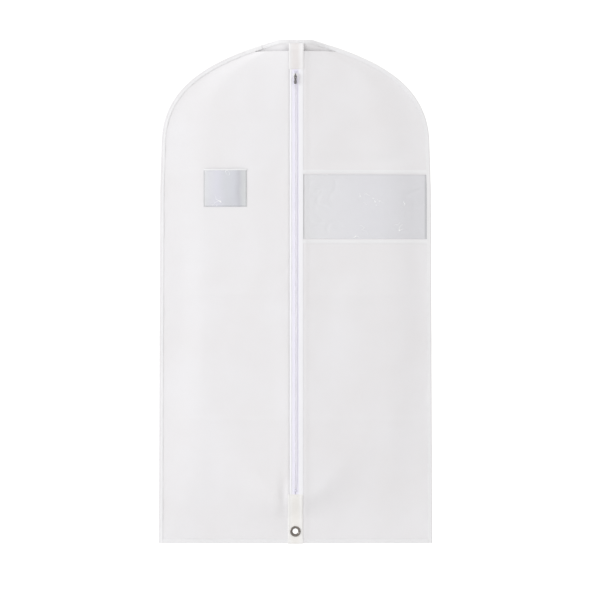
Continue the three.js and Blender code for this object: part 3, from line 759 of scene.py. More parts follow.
def pocket_y(x, z):
    across = (x - POCKET_LOW.x) / (POCKET_HIGH.x - POCKET_LOW.x)
    down = (POCKET_HIGH.z - z) / (POCKET_HIGH.z - POCKET_LOW.z)
    bow = math.sin(math.pi * min(max(across, 0), 1)) ** 0.6 * smooth((1 - down) / 0.35)
    bands = 0.0006 * math.sin(across * 9.0 + 0.6) * smooth(across / 0.1) * smooth((1 - across) / 0.1)
    return front_y(x, z) - 0.0004 - bow * POCKET_BOW - bands * bow


def pocket_place(across, down):
    x = lerp(POCKET_LOW.x, POCKET_HIGH.x, across)
    z = lerp(POCKET_HIGH.z, POCKET_LOW.z, down)
    return x, pocket_y(x, z) - FILM_THICKNESS, z


pocket = cloth_piece("card_pocket", 56, 50, pocket_place, FILM_THICKNESS)
pocket.data.materials.append(POCKET_FILM)
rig.ride(pocket, "upper_bag")
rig.replaces(pocket, "card_pocket_film")
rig.slot(pocket, "film")

# The turned edge at the pocket's mouth is a doubled narrow band of the same film.
MOUTH_BAND = 0.0032
POCKET_EDGE_FILM = film_finish(
    "pocket_edge_finish", POCKET_LOW - Vector((0.01, 0, 0.01)), POCKET_HIGH + Vector((0.01, 0, 0.01)),
    [(0.0, (0.97, 0.97, 0.98)), (1.0, (0.97, 0.97, 0.98))], alpha=0.9, roughness=0.12, seed=8.0)


def mouth_place(across, down):
    x = lerp(POCKET_LOW.x, POCKET_HIGH.x, across)
    z = lerp(POCKET_HIGH.z, POCKET_HIGH.z - MOUTH_BAND, down)
    return x, pocket_y(x, z) - 2 * FILM_THICKNESS - 0.0003, z


mouth_band = cloth_piece("card_pocket_mouth_band", 56, 4, mouth_place, FILM_THICKNESS)
mouth_band.data.materials.append(POCKET_EDGE_FILM)
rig.ride(mouth_band, "upper_bag")
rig.slot(mouth_band, "film")
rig.sheet(
    pocket, held="hung", rests_on=[front_left], with_pieces=[mouth_band],
    flat=(POCKET_HIGH.x - POCKET_LOW.x, POCKET_HIGH.z - POCKET_LOW.z))

def three_sides(left, right, start, turn, steps_along, steps_across):
    """A seam's route (x, z): along the left side from start to turn, across, and back along the right."""
    return (
        [(left, z) for z in np.linspace(start, turn, steps_along)]
        + [(x, turn) for x in np.linspace(left, right, steps_across)]
        + [(right, z) for z in np.linspace(turn, start, steps_along)]
    )


POCKET_SEAM = 0.0035
pocket_route = three_sides(
    POCKET_LOW.x + POCKET_SEAM, POCKET_HIGH.x - POCKET_SEAM,
    POCKET_HIGH.z, POCKET_LOW.z + POCKET_SEAM, 20, 24)
pocket_seam = stitches(
    "card_pocket_stitches", [(x, pocket_y(x, z) - FILM_THICKNESS - 0.0001, z) for x, z in pocket_route],
    length=0.0018, thickness=0.0003)
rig.ride(pocket_seam, "upper_bag")


# ----------------------------------------------------------------------
# Binding: a white tape folded over the raw edges of front and back, and sewn through. One runs
# down each side from the neck to the hem, one along the hem, and one along the back's neck.

BINDING_CLOTH = cloth_finish(
    "binding_cloth", (0.90, 0.891, 0.90), (0.862, 0.855, 0.864), bump=0.35, points=900.0)
BINDING_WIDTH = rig.box("hem_binding")[1].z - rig.box("hem_binding")[0].z
BINDING_THICKNESS = 0.0004
BINDING_FRONT = FRONT_AT_SEAM - 0.0006
BINDING_BACK = BACK_INSIDE + CLOTH_THICKNESS + 0.0010
THREAD_OUT = 0.0003  # how far a thread's middle stands out of the tape it is sewn through
STITCH_FROM_EDGE = BINDING_WIDTH - 0.0018
BINDING_LEAN = {-1: 0.0011, 1: 0.0}  # how far the left side's front leg slopes back to its fold


def folded_tape(across, front, back):
    """The section from the front lip round the fold to the back lip: (distance in from the edge, y)."""
    depth = back - front
    leg = BINDING_WIDTH - depth / 2
    length = 2 * leg + math.pi * depth / 2
    run = across * length
    if run < leg:
        return BINDING_WIDTH - run, front
    if run > length - leg:
        return depth / 2 + run - (length - leg), back
    angle = (run - leg) / (depth / 2)
    return depth / 2 - math.sin(angle) * depth / 2, (front + back) / 2 - math.cos(angle) * depth / 2


def ripple(run, seed):
    """Small waves in the tape's lips from the sewing machine's feed."""
    return 0.00035 * uneven(run * 70.0, seed, 0) + 0.0005 * uneven(run * 16.0, seed, 5)


def edge_place(run, inset=0.0, side=1):
    """The point (x, z) at a run along the edge from the middle of the neck, moved in by an inset."""
    columns = (edge[:, 0], edge[:, 1], outward[:, 0], outward[:, 1])
    x, z, out_x, out_z = (np.interp(run, edge_run, column) for column in columns)
    return side * (x - inset * out_x), z - inset * out_z


def binding_point(run, side, across, front, seed):
    inset, y = folded_tape(across, front, BINDING_BACK)
    lip = inset / BINDING_WIDTH
    x, z = edge_place(run, inset + 0.6 * ripple(run, seed + 2) * (1 - lip), side)
    if across < 0.5:
        return x, y - lip * ripple(run, seed) + BINDING_LEAN[side] * (1 - lip), z
    return x, y + lip * ripple(run, seed), z


NECK_RUN = float(np.interp(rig.box("neck_binding")[1].x, edge[:, 0], edge_run))
EDGE_LENGTH = float(edge_run[-1])
NECK_FRONT = BACK_INSIDE - 0.0010

for label, side in (("left", -1), ("right", 1)):
    def side_place(across, down, side=side):
        section = across if side > 0 else 1 - across
        return binding_point(lerp(NECK_RUN, EDGE_LENGTH, down), side, section, BINDING_FRONT, 4.0 * side)

    binding = cloth_piece(f"binding_{label}", 16, 330, side_place, BINDING_THICKNESS)
    binding.data.materials.append(BINDING_CLOTH)
    across_fold(binding)
    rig.replaces(binding, f"binding_{label}_upper", f"binding_{label}_lower")
    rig.slot(binding, "binding")

    seam_line = []
    for run in np.linspace(NECK_RUN, EDGE_LENGTH - BINDING_WIDTH, 420):
        x, z = edge_place(run, STITCH_FROM_EDGE, side)
        seam_line.append((x, BINDING_FRONT - THREAD_OUT + ripple(run, 4.0 * side), z))
    across_fold(stitches(f"binding_{label}_stitches", seam_line, thickness=0.00035))


def neck_place(across, down):
    run = lerp(-NECK_RUN, NECK_RUN, across)
    x, y, z = binding_point(abs(run), 1 if run > 0 else -1, 1 - down, NECK_FRONT, 9.0)
    return x, y - neck_sag(x, z), z


neck_tape = cloth_piece("neck_tape", 48, 16, neck_place, BINDING_THICKNESS)


HEM_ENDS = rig.box("hem_binding")[0].x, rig.box("hem_binding")[1].x


def hem_place(across, down):
    x = lerp(*HEM_ENDS, across)
    inset, y = folded_tape(down, BINDING_FRONT, BINDING_BACK)
    lip = inset / BINDING_WIDTH
    waver = ripple(x + 1, 15.0)
    y += -lip * waver if down < 0.5 else lip * waver
    return x, y, BAG_BOTTOM + inset + 0.6 * ripple(x + 1, 17.0) * (1 - lip)


hem_tape = cloth_piece("hem_tape", 180, 16, hem_place, BINDING_THICKNESS)
for piece, node_name, body in (
    (neck_tape, "neck_binding", "upper_bag"),
    (hem_tape, "hem_binding", "lower_bag"),
):
    piece.data.materials.append(BINDING_CLOTH)
    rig.ride(piece, body)
    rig.replaces(piece, node_name)
    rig.slot(piece, "binding")

hem_seam = stitches("hem_stitches", [
    (x, BINDING_FRONT - THREAD_OUT - ripple(x + 1, 15.0), BAG_BOTTOM + STITCH_FROM_EDGE)
    for x in np.linspace(*HEM_ENDS, 200)
])
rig.ride(hem_seam, "lower_bag")
neck_line = []
for run in np.linspace(-NECK_RUN, NECK_RUN, 80):
    x, z = edge_place(abs(run), STITCH_FROM_EDGE, 1 if run > 0 else -1)
    neck_line.append((x, NECK_FRONT - THREAD_OUT - neck_sag(x, z), z))
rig.ride(stitches("neck_stitches", neck_line), "upper_bag")


# ----------------------------------------------------------------------
# Zip tapes: two woven polyester tapes, pale lavender beside the chain, sewn on the front panels'
# inner edges. A white cloth edging covers each tape's outer part.

TAPE_LOW, TAPE_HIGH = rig.box("zip_tape_right_lower")[0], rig.box("zip_tape_right_upper")[1]
TAPE_THICKNESS = 0.0005
TAPE_GAP = 0.0004  # from the middle to each tape under the chain
EDGING_START = 0.0082  # from the middle of the chain to the edging's folded lip
EDGING_THICKNESS = 0.0003
EDGING_FRONT = TAPE_LOW.y - 0.00045
EDGING_END = {-1: 0.0124, 1: 0.0175}  # the left half is folded narrower than the right


def tape_finish():
    """A fine diagonal weave; its dye is deeper beside the teeth, in a line that wanders a little."""
    material, tree, shader, place = new_finish("zip_tape_weave")
    axes = node(tree, "ShaderNodeSeparateXYZ", {0: place}).outputs
    drift = math_node(tree, "SUBTRACT", speckle(tree, place, 6.0, 1.0), 0.5)
    dyed = math_node(tree, "ADD", axes["X"], math_node(tree, "MULTIPLY", drift, 0.004))
    slant = math_node(tree, "ADD", math_node(tree, "ABSOLUTE", axes["X"]), axes["Z"])
    weave = math_node(tree, "SINE", math_node(tree, "MULTIPLY", slant, 2 * math.pi / 0.0007))
    thread = math_node(tree, "SINE", math_node(tree, "MULTIPLY", axes["X"], 2 * math.pi / 0.0005))
    set_inputs(tree, shader, {
        "Base Color": colour_ramp(tree, spread(tree, dyed, -0.010, 0.010), [
            (0.0, (0.95, 0.94, 0.98)), (0.22, (0.93, 0.91, 1.0)), (0.40, (0.91, 0.88, 1.0)),
            (0.60, (0.91, 0.88, 1.0)), (0.78, (0.92, 0.90, 1.0)), (1.0, (0.95, 0.94, 0.99)),
        ]),
        "Normal": bumps(tree, math_node(tree, "ADD", weave, thread), 0.4, 0.0001),
        "Roughness": 0.6, "Sheen Weight": 0.1,
    })
    return material


TOP_TAB_LOW, TOP_TAB_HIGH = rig.box("top_tab")
BOTTOM_TAB_LOW, BOTTOM_TAB_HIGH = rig.box("bottom_tab")
STOPS_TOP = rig.box("top_stop_left")[1].z


def chain_lift(side, z):
    """The left tape leans up to the chain between the two end tabs."""
    if side > 0:
        return 0.0
    below_top = smooth((TOP_TAB_LOW.z - z) / 0.012)
    return 0.0007 * below_top * smooth((z - BOTTOM_TAB_HIGH.z) / 0.012)


def stitch_y(x, side, z):
    reach = (x - EDGING_START) / (EDGING_END[side] - EDGING_START)
    return EDGING_FRONT + 0.0001 - chain_lift(side, z) * (1 - reach)


TAPE_WEAVE = tape_finish()
EDGING_CLOTH = cloth_finish("edging_cloth", (0.95, 0.943, 0.968), (0.92, 0.913, 0.94), bump=0.3)

for label, side in (("left", -1), ("right", 1)):
    def tape_place(across, down, side=side):
        z = lerp(TAPE_HIGH.z, TAPE_LOW.z, down)
        reach = across if side > 0 else 1 - across
        wave = 0.00025 * uneven(side * 3, z * 60, reach)
        gap = TAPE_GAP * smooth((STOPS_TOP - z) / 0.003)
        y = TAPE_LOW.y - 0.0001 - chain_lift(side, z) * (1 - reach) + wave * reach
        return side * lerp(gap, EDGING_END[side], reach), y, z

    def edging_place(across, down, side=side):
        z = lerp(TAPE_HIGH.z, TAPE_LOW.z, down)
        reach = across if side > 0 else 1 - across
        rounding = 0.0002 * (2 * abs(reach - 0.5)) ** 6 - chain_lift(side, z) * (1 - reach)
        waver = 0.0003 * uneven(side * 5, z * 45, 0)
        x = lerp(EDGING_START, EDGING_END[side], reach) + 0.0003 * uneven(side * 8, z * 22, 1)
        return side * x, EDGING_FRONT + rounding + waver, z

    tape = cloth_piece(f"zip_tape_{label}", 12, 260, tape_place, TAPE_THICKNESS)
    tape.data.materials.append(TAPE_WEAVE)
    across_fold(tape)
    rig.replaces(tape, f"zip_tape_{label}_upper", f"zip_tape_{label}_lower")
    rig.slot(tape, "tape")
    edging = cloth_piece(f"zip_edging_{label}", 8, 260, edging_place, EDGING_THICKNESS)
    edging.data.materials.append(EDGING_CLOTH)
    across_fold(edging)
    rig.slot(edging, "tape")
    for row, x in (("inner", EDGING_START + 0.0014), ("outer", EDGING_END[side] - 0.0014)):
        across_fold(stitches(f"zip_edging_{label}_{row}_stitches", [
            (side * x, stitch_y(x, side, z) + 0.0003 * uneven(side * 5, z * 45, 0), z)
            for z in np.linspace(TAPE_HIGH.z, TAPE_LOW.z, 300)
        ], thickness=0.0003))


# ----------------------------------------------------------------------
# Zip chain: a nylon monofilament wound into flat coils round a core of white yarn, one sewn along
# each tape. Their turns lock into each other between the two halves.

CHAIN_TOP = STOPS_TOP - 0.001
CHAIN_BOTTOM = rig.box("zip_coil_left_lower")[0].z
COIL_FRONT, COIL_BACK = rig.box("zip_coil_left_upper")[0].y + 0.0011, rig.box("zip_coil_left_upper")[1].y
COIL_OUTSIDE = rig.box("zip_coil_right_upper")[1].x
COIL_PITCH = 0.0015
FILAMENT = 0.00038  # half the filament's thickness
HEAD_REACH = -0.0008  # a turn's head passes the middle by this much

nylon, tree, shader, place = new_finish("coil_nylon")
dye = [(0.35, (0.93, 0.895, 1.0)), (0.65, (0.97, 0.94, 1.0))]
set_inputs(tree, shader, {
    "Base Color": colour_ramp(tree, speckle(tree, place, 14.0, 3.0), dye),
    "Normal": bumps(tree, speckle(tree, place, 2500.0, 2.0), 0.15, 0.0001), "Roughness": 0.35,
    "Subsurface Weight": 0.4, "Subsurface Radius": (1.0, 0.9, 1.0), "Subsurface Scale": 0.0012,
})

one_turn = np.array([
    (COIL_OUTSIDE - FILAMENT, COIL_BACK - FILAMENT, -0.30),
    (COIL_OUTSIDE - FILAMENT, COIL_FRONT + FILAMENT, -0.12),
    (0.0012, COIL_FRONT + FILAMENT, -0.04),
    (HEAD_REACH + 0.0004, COIL_FRONT + 0.0008, 0.0),
    (HEAD_REACH + 0.0002, (COIL_FRONT + COIL_BACK) / 2, 0.02),
    (HEAD_REACH + 0.0006, COIL_BACK - 0.0006, 0.04),
    (0.0016, COIL_BACK - FILAMENT, 0.20),
    (COIL_OUTSIDE - FILAMENT, COIL_BACK - FILAMENT, 0.70),
])
one_turn[:, 2] *= COIL_PITCH
along = np.gradient(one_turn, axis=0)
along /= np.linalg.norm(along, axis=1)[:, None]
first = np.cross(along, (0, 0, 1.0))
first /= np.linalg.norm(first, axis=1)[:, None]
second = np.cross(along, first)
SIDES = 5
ring = np.linspace(0, 2 * math.pi, SIDES, endpoint=False)
tube = np.concatenate([
    p + FILAMENT * (np.cos(ring)[:, None] * a + np.sin(ring)[:, None] * b)
    for p, a, b in zip(one_turn, first, second)
])
tube_faces = [
    (r * SIDES + s, (r + 1) * SIDES + s, (r + 1) * SIDES + (s + 1) % SIDES, r * SIDES + (s + 1) % SIDES)
    for r in range(len(one_turn) - 1) for s in range(SIDES)
]
tube_faces += [tuple(range(SIDES)), tuple(reversed(range(len(tube) - SIDES, len(tube))))]


def chain_wander(z):
    """The chain isn't quite straight: it lies where the sewing left it."""
    ends = min(CHAIN_TOP - 0.02 - z, z - CHAIN_BOTTOM)
    return (0.0010 + 0.0006 * uneven(2.0, z * 9.0, 0)) * smooth(ends / 0.05)


def faces_outward():
    """Ends an edit with every face turned outwards."""
    bpy.ops.mesh.select_all(action="SELECT")
    bpy.ops.mesh.normals_make_consistent(inside=False)
    bpy.ops.object.mode_set(mode="OBJECT")


CORE_IN, CORE_OUT = 0.0003, COIL_OUTSIDE - FILAMENT
CORE_FRONT, CORE_BACK = COIL_FRONT + 0.0003, COIL_BACK - 0.0002
core_yarn = cloth_finish("core_yarn", (0.96, 0.93, 1.0), (0.93, 0.90, 1.0), bump=0.3)

for label, side in (("left", -1), ("right", 1)):
    def core_place(across, down, side=side):
        z = lerp(CHAIN_TOP - 0.001, CHAIN_BOTTOM + 0.001, down)
        reach = across if side > 0 else 1 - across
        return side * lerp(CORE_IN, CORE_OUT, reach) + chain_wander(z), CORE_FRONT, z

    core = cloth_piece(f"zip_core_{label}", 2, 260, core_place, CORE_BACK - CORE_FRONT)
    core.data.materials.append(core_yarn)
    across_fold(core)
    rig.slot(core, "coil")

    turns = int((CHAIN_TOP - CHAIN_BOTTOM) / COIL_PITCH) - 1
    points, faces = [], []
    for turn in range(turns):
        z = CHAIN_TOP - (turn + 0.7 + (0.5 if side > 0 else 0)) * COIL_PITCH
        points.append(tube * (side, 1, 1) + (chain_wander(z), 0, z))
        faces += [tuple(turn * len(tube) + v for v in face) for face in tube_faces]
    coil = piece_from(f"zip_coil_{label}", np.concatenate(points).tolist(), faces)
    bpy.ops.object.mode_set(mode="EDIT")
    faces_outward()
    bpy.ops.object.shade_smooth()
    coil.data.materials.append(nylon)
    across_fold(coil)
    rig.replaces(coil, f"zip_coil_{label}_upper", f"zip_coil_{label}_lower")
    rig.slot(coil, "coil")


# ----------------------------------------------------------------------
# Zip stops: three small blocks of white plastic welded over the coils' ends, two at the top and
# a wider one below that joins both coils.

STOP_EASE = 0.0007  # the blocks are shallower than their solids, and the top pair nearly meet
stop_plastic, tree, shader, place = new_finish("stop_plastic")
worn = speckle(tree, place, 700.0, 3.0)
set_inputs(tree, shader, {
    "Base Color": colour_ramp(tree, worn, [(0.0, (0.72, 0.71, 0.80)), (1.0, (0.82, 0.81, 0.90))]),
    "Normal": bumps(tree, worn, 0.3, 0.0002), "Roughness": 0.45,
})

for node_name, body in (
    ("top_stop_left", "upper_bag"), ("top_stop_right", "upper_bag"), ("bottom_stop", "lower_bag"),
):
    low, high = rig.box(node_name)
    low.y += STOP_EASE
    if node_name == "top_stop_left":
        high.x += STOP_EASE
    if node_name == "top_stop_right":
        low.x -= STOP_EASE
    bpy.ops.object.select_all(action="DESELECT")
    bpy.ops.mesh.primitive_cube_add(size=1, location=(low + high) / 2, scale=high - low)
    stop = bpy.context.object
    stop.name = f"{node_name}_block"
    bpy.ops.object.transform_apply(location=True, rotation=True, scale=True)
    apply_modifier(stop, "BEVEL", width=0.0006, segments=3)
    bpy.ops.object.shade_smooth_by_angle(angle=math.radians(40))
    stop.data.materials.append(stop_plastic)
    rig.ride(stop, body)
    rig.replaces(stop, node_name)
    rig.slot(stop, "coil")


# ----------------------------------------------------------------------
# End tabs: doubled cloth sewn over both ends of the zip. The lower one turns under the hem and
# carries the eyelet that goes over a hanger's hook.

TAB_HALF = TOP_TAB_HIGH.x
TAB_THICKNESS = 0.0009
TAB_SHIFT = 0.0019  # the top tab was sewn on a little to the right


def tab_finish(name, edge_colour, middle_colour):
    """The tab's cloth, which is darker and warmer in tone down its middle."""
    material = cloth_finish(name, edge_colour, edge_colour, bump=0.35, points=620.0)
    tree = material.node_tree
    shader = tree.nodes["Principled BSDF"]
    place = node(tree, "ShaderNodeTexCoord", {}).outputs["Object"]
    from_middle = math_node(tree, "ABSOLUTE", node(tree, "ShaderNodeSeparateXYZ", {0: place}).outputs["X"])
    # Noise makes the edge of the darker middle band wander.
    middle_wander = math_node(tree, "MULTIPLY", speckle(tree, place, 45.0, 3.0), 0.005)
    reach = math_node(tree, "ADD", from_middle, middle_wander)
    middle = spread(tree, reach, 0.006, 0.015, 1.0, 0.0, interpolation_type="SMOOTHSTEP")
    cloth = shader.inputs["Base Color"].links[0].from_socket
    mixed = node(tree, "ShaderNodeMix", {0: middle, 6: cloth, 7: (*middle_colour, 1)}, data_type="RGBA")
    set_inputs(tree, shader, {"Base Color": mixed.outputs[2]})
    return material


def tab_section(across):
    """The tab's turned side edges stand a little proud of its middle."""
    out = 2 * abs(across - 0.5)
    return 0.0003 * out ** 10 - 0.00025 * smooth((out - 0.66) / 0.08) * (1 - smooth((out - 0.9) / 0.1))


TAB_FRONT = TOP_TAB_LOW.y + 0.0002


def top_tab_lean(z):
    """The tab's upper end falls back to the neck above the front's edge."""
    return 0.006 * smooth((z - MOUTH_Z) / 0.018)


def top_tab_place(across, down):
    z = lerp(TOP_TAB_HIGH.z, TOP_TAB_LOW.z, down)
    end = 0.0005 * (2 * abs(down - 0.5)) ** 14 + top_tab_lean(z)
    sway = 0.0005 * uneven(across * 2, z * 50, 3)
    x = lerp(-TAB_HALF, TAB_HALF, across) + TAB_SHIFT + 0.6 * sway
    return x, TAB_FRONT + tab_section(across) + end + sway, z


top_tab = cloth_piece("top_tab_cloth", 30, 40, top_tab_place, TAB_THICKNESS)
top_tab.data.materials.append(tab_finish("top_tab_finish", (0.91, 0.895, 0.90), (0.84, 0.805, 0.80)))
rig.ride(top_tab, "upper_bag")
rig.replaces(top_tab, "top_tab")
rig.slot(top_tab, "tab")
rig.sheet(
    top_tab, held="laid", rests_on=["zip_tape_left", "zip_tape_right"],
    flat=(2 * TAB_HALF, TOP_TAB_HIGH.z - TOP_TAB_LOW.z))

TAB_AT_HEM = BINDING_FRONT - 0.0011
TAB_BEHIND = BINDING_BACK + 0.0010
TURN_HALF = (TAB_BEHIND - TAB_AT_HEM) / 2
TURN_UP = 0.007  # the tab's end behind the hem


def tab_line():
    """The lower tab from the side: down the front, round the hem and up a little behind it."""
    line = []
    for z in np.linspace(BOTTOM_TAB_HIGH.z, BOTTOM_TAB_LOW.z + TURN_HALF, 50):
        standing = smooth((z - HEM_RAMP_BOTTOM) / (HEM_RAMP_TOP - HEM_RAMP_BOTTOM))
        line.append((lerp(TAB_AT_HEM, TAB_FRONT, standing), z))
    for turn in np.linspace(0, math.pi, 14)[1:]:
        line.append((
            (TAB_AT_HEM + TAB_BEHIND) / 2 - TURN_HALF * math.cos(turn),
            BOTTOM_TAB_LOW.z + TURN_HALF - TURN_HALF * math.sin(turn),
        ))
    line.append((TAB_BEHIND, BOTTOM_TAB_LOW.z + TURN_HALF + TURN_UP))
    return np.array(line)


TAB_LINE = tab_line()
TAB_RUN = np.concatenate([[0], np.cumsum(np.linalg.norm(np.diff(TAB_LINE, axis=0), axis=1))])


EYELET_LOW, EYELET_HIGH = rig.box("eyelet")
EYELET_MIDDLE = (EYELET_LOW + EYELET_HIGH) / 2


def bottom_tab_place(across, down):
    run = down * TAB_RUN[-1]
    y, z = (np.interp(run, TAB_RUN, TAB_LINE[:, k]) for k in (0, 1))
    front_only = smooth((z - BOTTOM_TAB_LOW.z - 0.01) / 0.01)
    x = lerp(-TAB_HALF, TAB_HALF, across)
    off_eyelet = smooth((math.hypot(x, z - EYELET_MIDDLE.z) - 0.011) / 0.006)
    sway = 0.0006 * uneven(across * 2, z * 40, 8) * front_only * off_eyelet
    return x, y + (tab_section(across) + sway) * front_only, z


bottom_tab = cloth_piece("bottom_tab_cloth", 30, 110, bottom_tab_place, TAB_THICKNESS)
bottom_tab.data.materials.append(tab_finish("bottom_tab_finish", (0.93, 0.915, 0.90), (0.91, 0.885, 0.855)))

PUNCH_RADIUS = 0.0073  # the hole in the cloth, round the eyelet's barrel


def punch_hole(pieces, middle, half_width, half_height, corners):
    """Cuts a round or oval hole through the pieces, from front to back."""
    bpy.ops.object.select_all(action="DESELECT")
    bpy.ops.mesh.primitive_cylinder_add(
        vertices=corners, radius=1, depth=0.05, location=middle, rotation=(math.pi / 2, 0, 0),
        scale=(half_width, half_height, 1))
    punch = bpy.context.object
    bpy.ops.object.transform_apply(location=True, rotation=True, scale=True)
    for piece in pieces:
        apply_modifier(piece, "BOOLEAN", object=punch, operation="DIFFERENCE", solver="EXACT")
    bpy.data.objects.remove(punch)


punch_hole([bottom_tab, back_panel], EYELET_MIDDLE, PUNCH_RADIUS, PUNCH_RADIUS, 48)
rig.ride(bottom_tab, "lower_bag")
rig.replaces(bottom_tab, "bottom_tab")
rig.slot(bottom_tab, "tab")
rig.sheet(bottom_tab, held="folded", rests_on=[hem_tape, "zip_tape_left"], flat=(2 * TAB_HALF, TAB_RUN[-1]))
across_fold(back_panel)
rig.replaces(back_panel, "back_panel_upper", "back_panel_lower")
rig.slot(back_panel, "cloth")

SEWN_IN = 0.0022
inside = TAB_HALF - SEWN_IN
tab_seam = three_sides(-inside, inside, TOP_TAB_HIGH.z - SEWN_IN, TOP_TAB_LOW.z + SEWN_IN, 20, 12)
tab_seam = [(x + TAB_SHIFT, TAB_FRONT - THREAD_OUT + top_tab_lean(z), z) for x, z in tab_seam]
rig.ride(stitches("top_tab_stitches", tab_seam), "upper_bag")

tab_seam = three_sides(-inside, inside, BOTTOM_TAB_LOW.z + BINDING_WIDTH, BOTTOM_TAB_HIGH.z - SEWN_IN, 60, 12)
tab_y = [np.interp(-z, -TAB_LINE[:50, 1], TAB_LINE[:50, 0]) for x, z in tab_seam]
tab_seam = [(x, y - THREAD_OUT, z) for (x, z), y in zip(tab_seam, tab_y)]
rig.ride(stitches("bottom_tab_stitches", tab_seam), "lower_bag")


# ----------------------------------------------------------------------
# Eyelet and washer: nickel-plated brass. The eyelet's barrel goes through the tab and the back
# panel, and its far end is rolled over the washer behind.

def pitted_plate(tree, given):
    """Plating with fine pits and duller patches."""
    return {
        "Patches": speckle(tree, given["Vector"], 420.0, 4.0),
        "Pits": speckle(tree, given["Vector"], 3000.0, 2.0, distortion=2.0),
    }


PITTED_PLATE = surface_group("pitted_plate", [], pitted_plate)


def metal_finish(name, light, dark, roughness):
    material, tree, shader, place = new_finish(name)
    plate = node(tree, "ShaderNodeGroup", {"Vector": place}, node_tree=PITTED_PLATE).outputs
    set_inputs(tree, shader, {
        "Base Color": colour_ramp(tree, plate["Patches"], [(0.35, dark), (0.65, light)]),
        "Roughness": spread(tree, plate["Patches"], 0.3, 0.7, roughness, roughness + 0.18),
        "Normal": bumps(tree, plate["Pits"], 0.12, 0.0001),
        "Metallic": 1.0,
    })
    return material


# Painted reflection: these colours are far darker than bare nickel, standing in for the dark surroundings that the
# eyelet reflects.
NICKEL = metal_finish("nickel_plate", (0.30, 0.27, 0.25), (0.19, 0.17, 0.155), 0.16)


def loop_piece(name, points, fill):
    """A ring of points, added as a circle and laid point by point."""
    bpy.ops.object.select_all(action="DESELECT")
    bpy.ops.mesh.primitive_circle_add(vertices=len(points), fill_type=fill)
    piece = bpy.context.object
    piece.name = name
    for vertex, point in zip(piece.data.vertices, points):
        vertex.co = point
    return piece


def spun_piece(name, profile, centre):
    """A profile of (radius, y) points, spun round the eyelet's own axis."""
    piece = loop_piece(name, [(centre.x + radius, y, centre.z) for radius, y in profile], "NOTHING")
    bpy.ops.object.mode_set(mode="EDIT")
    bpy.ops.mesh.select_all(action="SELECT")
    bpy.ops.mesh.spin(steps=72, angle=2 * math.pi, center=centre, axis=(0, 1, 0))
    bpy.ops.mesh.select_all(action="SELECT")
    bpy.ops.mesh.remove_doubles(threshold=1e-6)
    faces_outward()
    bpy.ops.object.shade_smooth_by_angle(angle=math.radians(60))
    return piece


EYELET_RADIUS = EYELET_HIGH.x
BORE_RADIUS = 0.00625
WASHER_LOW, WASHER_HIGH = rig.box("eyelet_washer")
domed_face = [
    (EYELET_RADIUS - 0.0008, EYELET_LOW.y + 0.0013), (EYELET_RADIUS - 0.0002, EYELET_LOW.y + 0.0013),
    (EYELET_RADIUS, EYELET_LOW.y + 0.0010), (EYELET_RADIUS - 0.0003, EYELET_LOW.y + 0.0006),
    (EYELET_RADIUS - 0.0009, EYELET_LOW.y + 0.00025), (EYELET_RADIUS - 0.0018, EYELET_LOW.y),
    (EYELET_RADIUS - 0.0027, EYELET_LOW.y + 0.0001), (EYELET_RADIUS - 0.0036, EYELET_LOW.y + 0.00045),
    (EYELET_RADIUS - 0.0043, EYELET_LOW.y + 0.0010), (EYELET_RADIUS - 0.0049, EYELET_LOW.y + 0.0018),
    (BORE_RADIUS, EYELET_LOW.y + 0.0028),
]
far_lip = [
    (BORE_RADIUS + 0.0013 - 0.0013 * math.cos(t), EYELET_HIGH.y - 0.0009 + 0.0009 * math.sin(t))
    for t in np.linspace(0, math.pi * 0.95, 10)
]
eyelet_profile = (
    domed_face + far_lip
    + [(BORE_RADIUS + 0.0008, EYELET_HIGH.y - 0.0012), (BORE_RADIUS + 0.0008, EYELET_LOW.y + 0.0026)]
    + [(BORE_RADIUS + 0.0022, EYELET_LOW.y + 0.0013), (EYELET_RADIUS - 0.0020, EYELET_LOW.y + 0.0009)]
)
eyelet = spun_piece("eyelet_ring", eyelet_profile, EYELET_MIDDLE)
washer_profile = [
    (BORE_RADIUS + 0.0010, WASHER_HIGH.y - 0.0001), (BORE_RADIUS + 0.0010, WASHER_LOW.y + 0.0002),
    (EYELET_RADIUS - 0.0009, WASHER_LOW.y + 0.0001), (EYELET_RADIUS - 0.0002, WASHER_LOW.y + 0.0001),
    (EYELET_RADIUS, WASHER_LOW.y + 0.0004), (EYELET_RADIUS - 0.0005, WASHER_HIGH.y),
    (EYELET_RADIUS - 0.0022, WASHER_HIGH.y + 0.0001),
]
washer = spun_piece("eyelet_back_washer", washer_profile, EYELET_MIDDLE)
for piece, node_name in ((eyelet, "eyelet"), (washer, "eyelet_washer")):
    piece.data.materials.append(NICKEL)
    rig.ride(piece, "lower_bag")
    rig.replaces(piece, node_name)
    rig.slot(piece, "nickel")


# ----------------------------------------------------------------------
# Zip slider: die-cast zinc, painted white, under a grey gunmetal arch. Two plates hold the chain
# between their turned-in edges and meet in a post above it; the arch carries the pull.

GUNMETAL = metal_finish("gunmetal_plate", (0.33, 0.315, 0.32), (0.19, 0.18, 0.18), 0.36)
BODY_METAL = metal_finish("slider_plate", (0.97, 0.965, 0.97), (0.90, 0.895, 0.90), 0.45)
SLIDER_LOW, SLIDER_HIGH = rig.box("slider_body")
CAP_LOW, CAP_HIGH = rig.box("slider_cap")
PLATE = 0.0012


def flat_piece(name, outline, front, thickness, rounding=0.0004):
    """A plate cut to an outline of (x, z) points, facing forwards, with rounded edges."""
    piece = loop_piece(name, [(x, front, z) for x, z in outline], "NGON")
    bpy.ops.object.mode_set(mode="EDIT")
    bpy.ops.mesh.select_all(action="SELECT")
    bpy.ops.mesh.extrude_region_move(TRANSFORM_OT_translate={"value": (0, thickness, 0)})
    faces_outward()
    apply_modifier(piece, "BEVEL", width=rounding, segments=3, limit_method="ANGLE")
    bpy.ops.object.shade_smooth_by_angle(angle=math.radians(35))
    return piece


def mirrored(half):
    return half + [(-x, z) for x, z in reversed(half) if x > 1e-9]


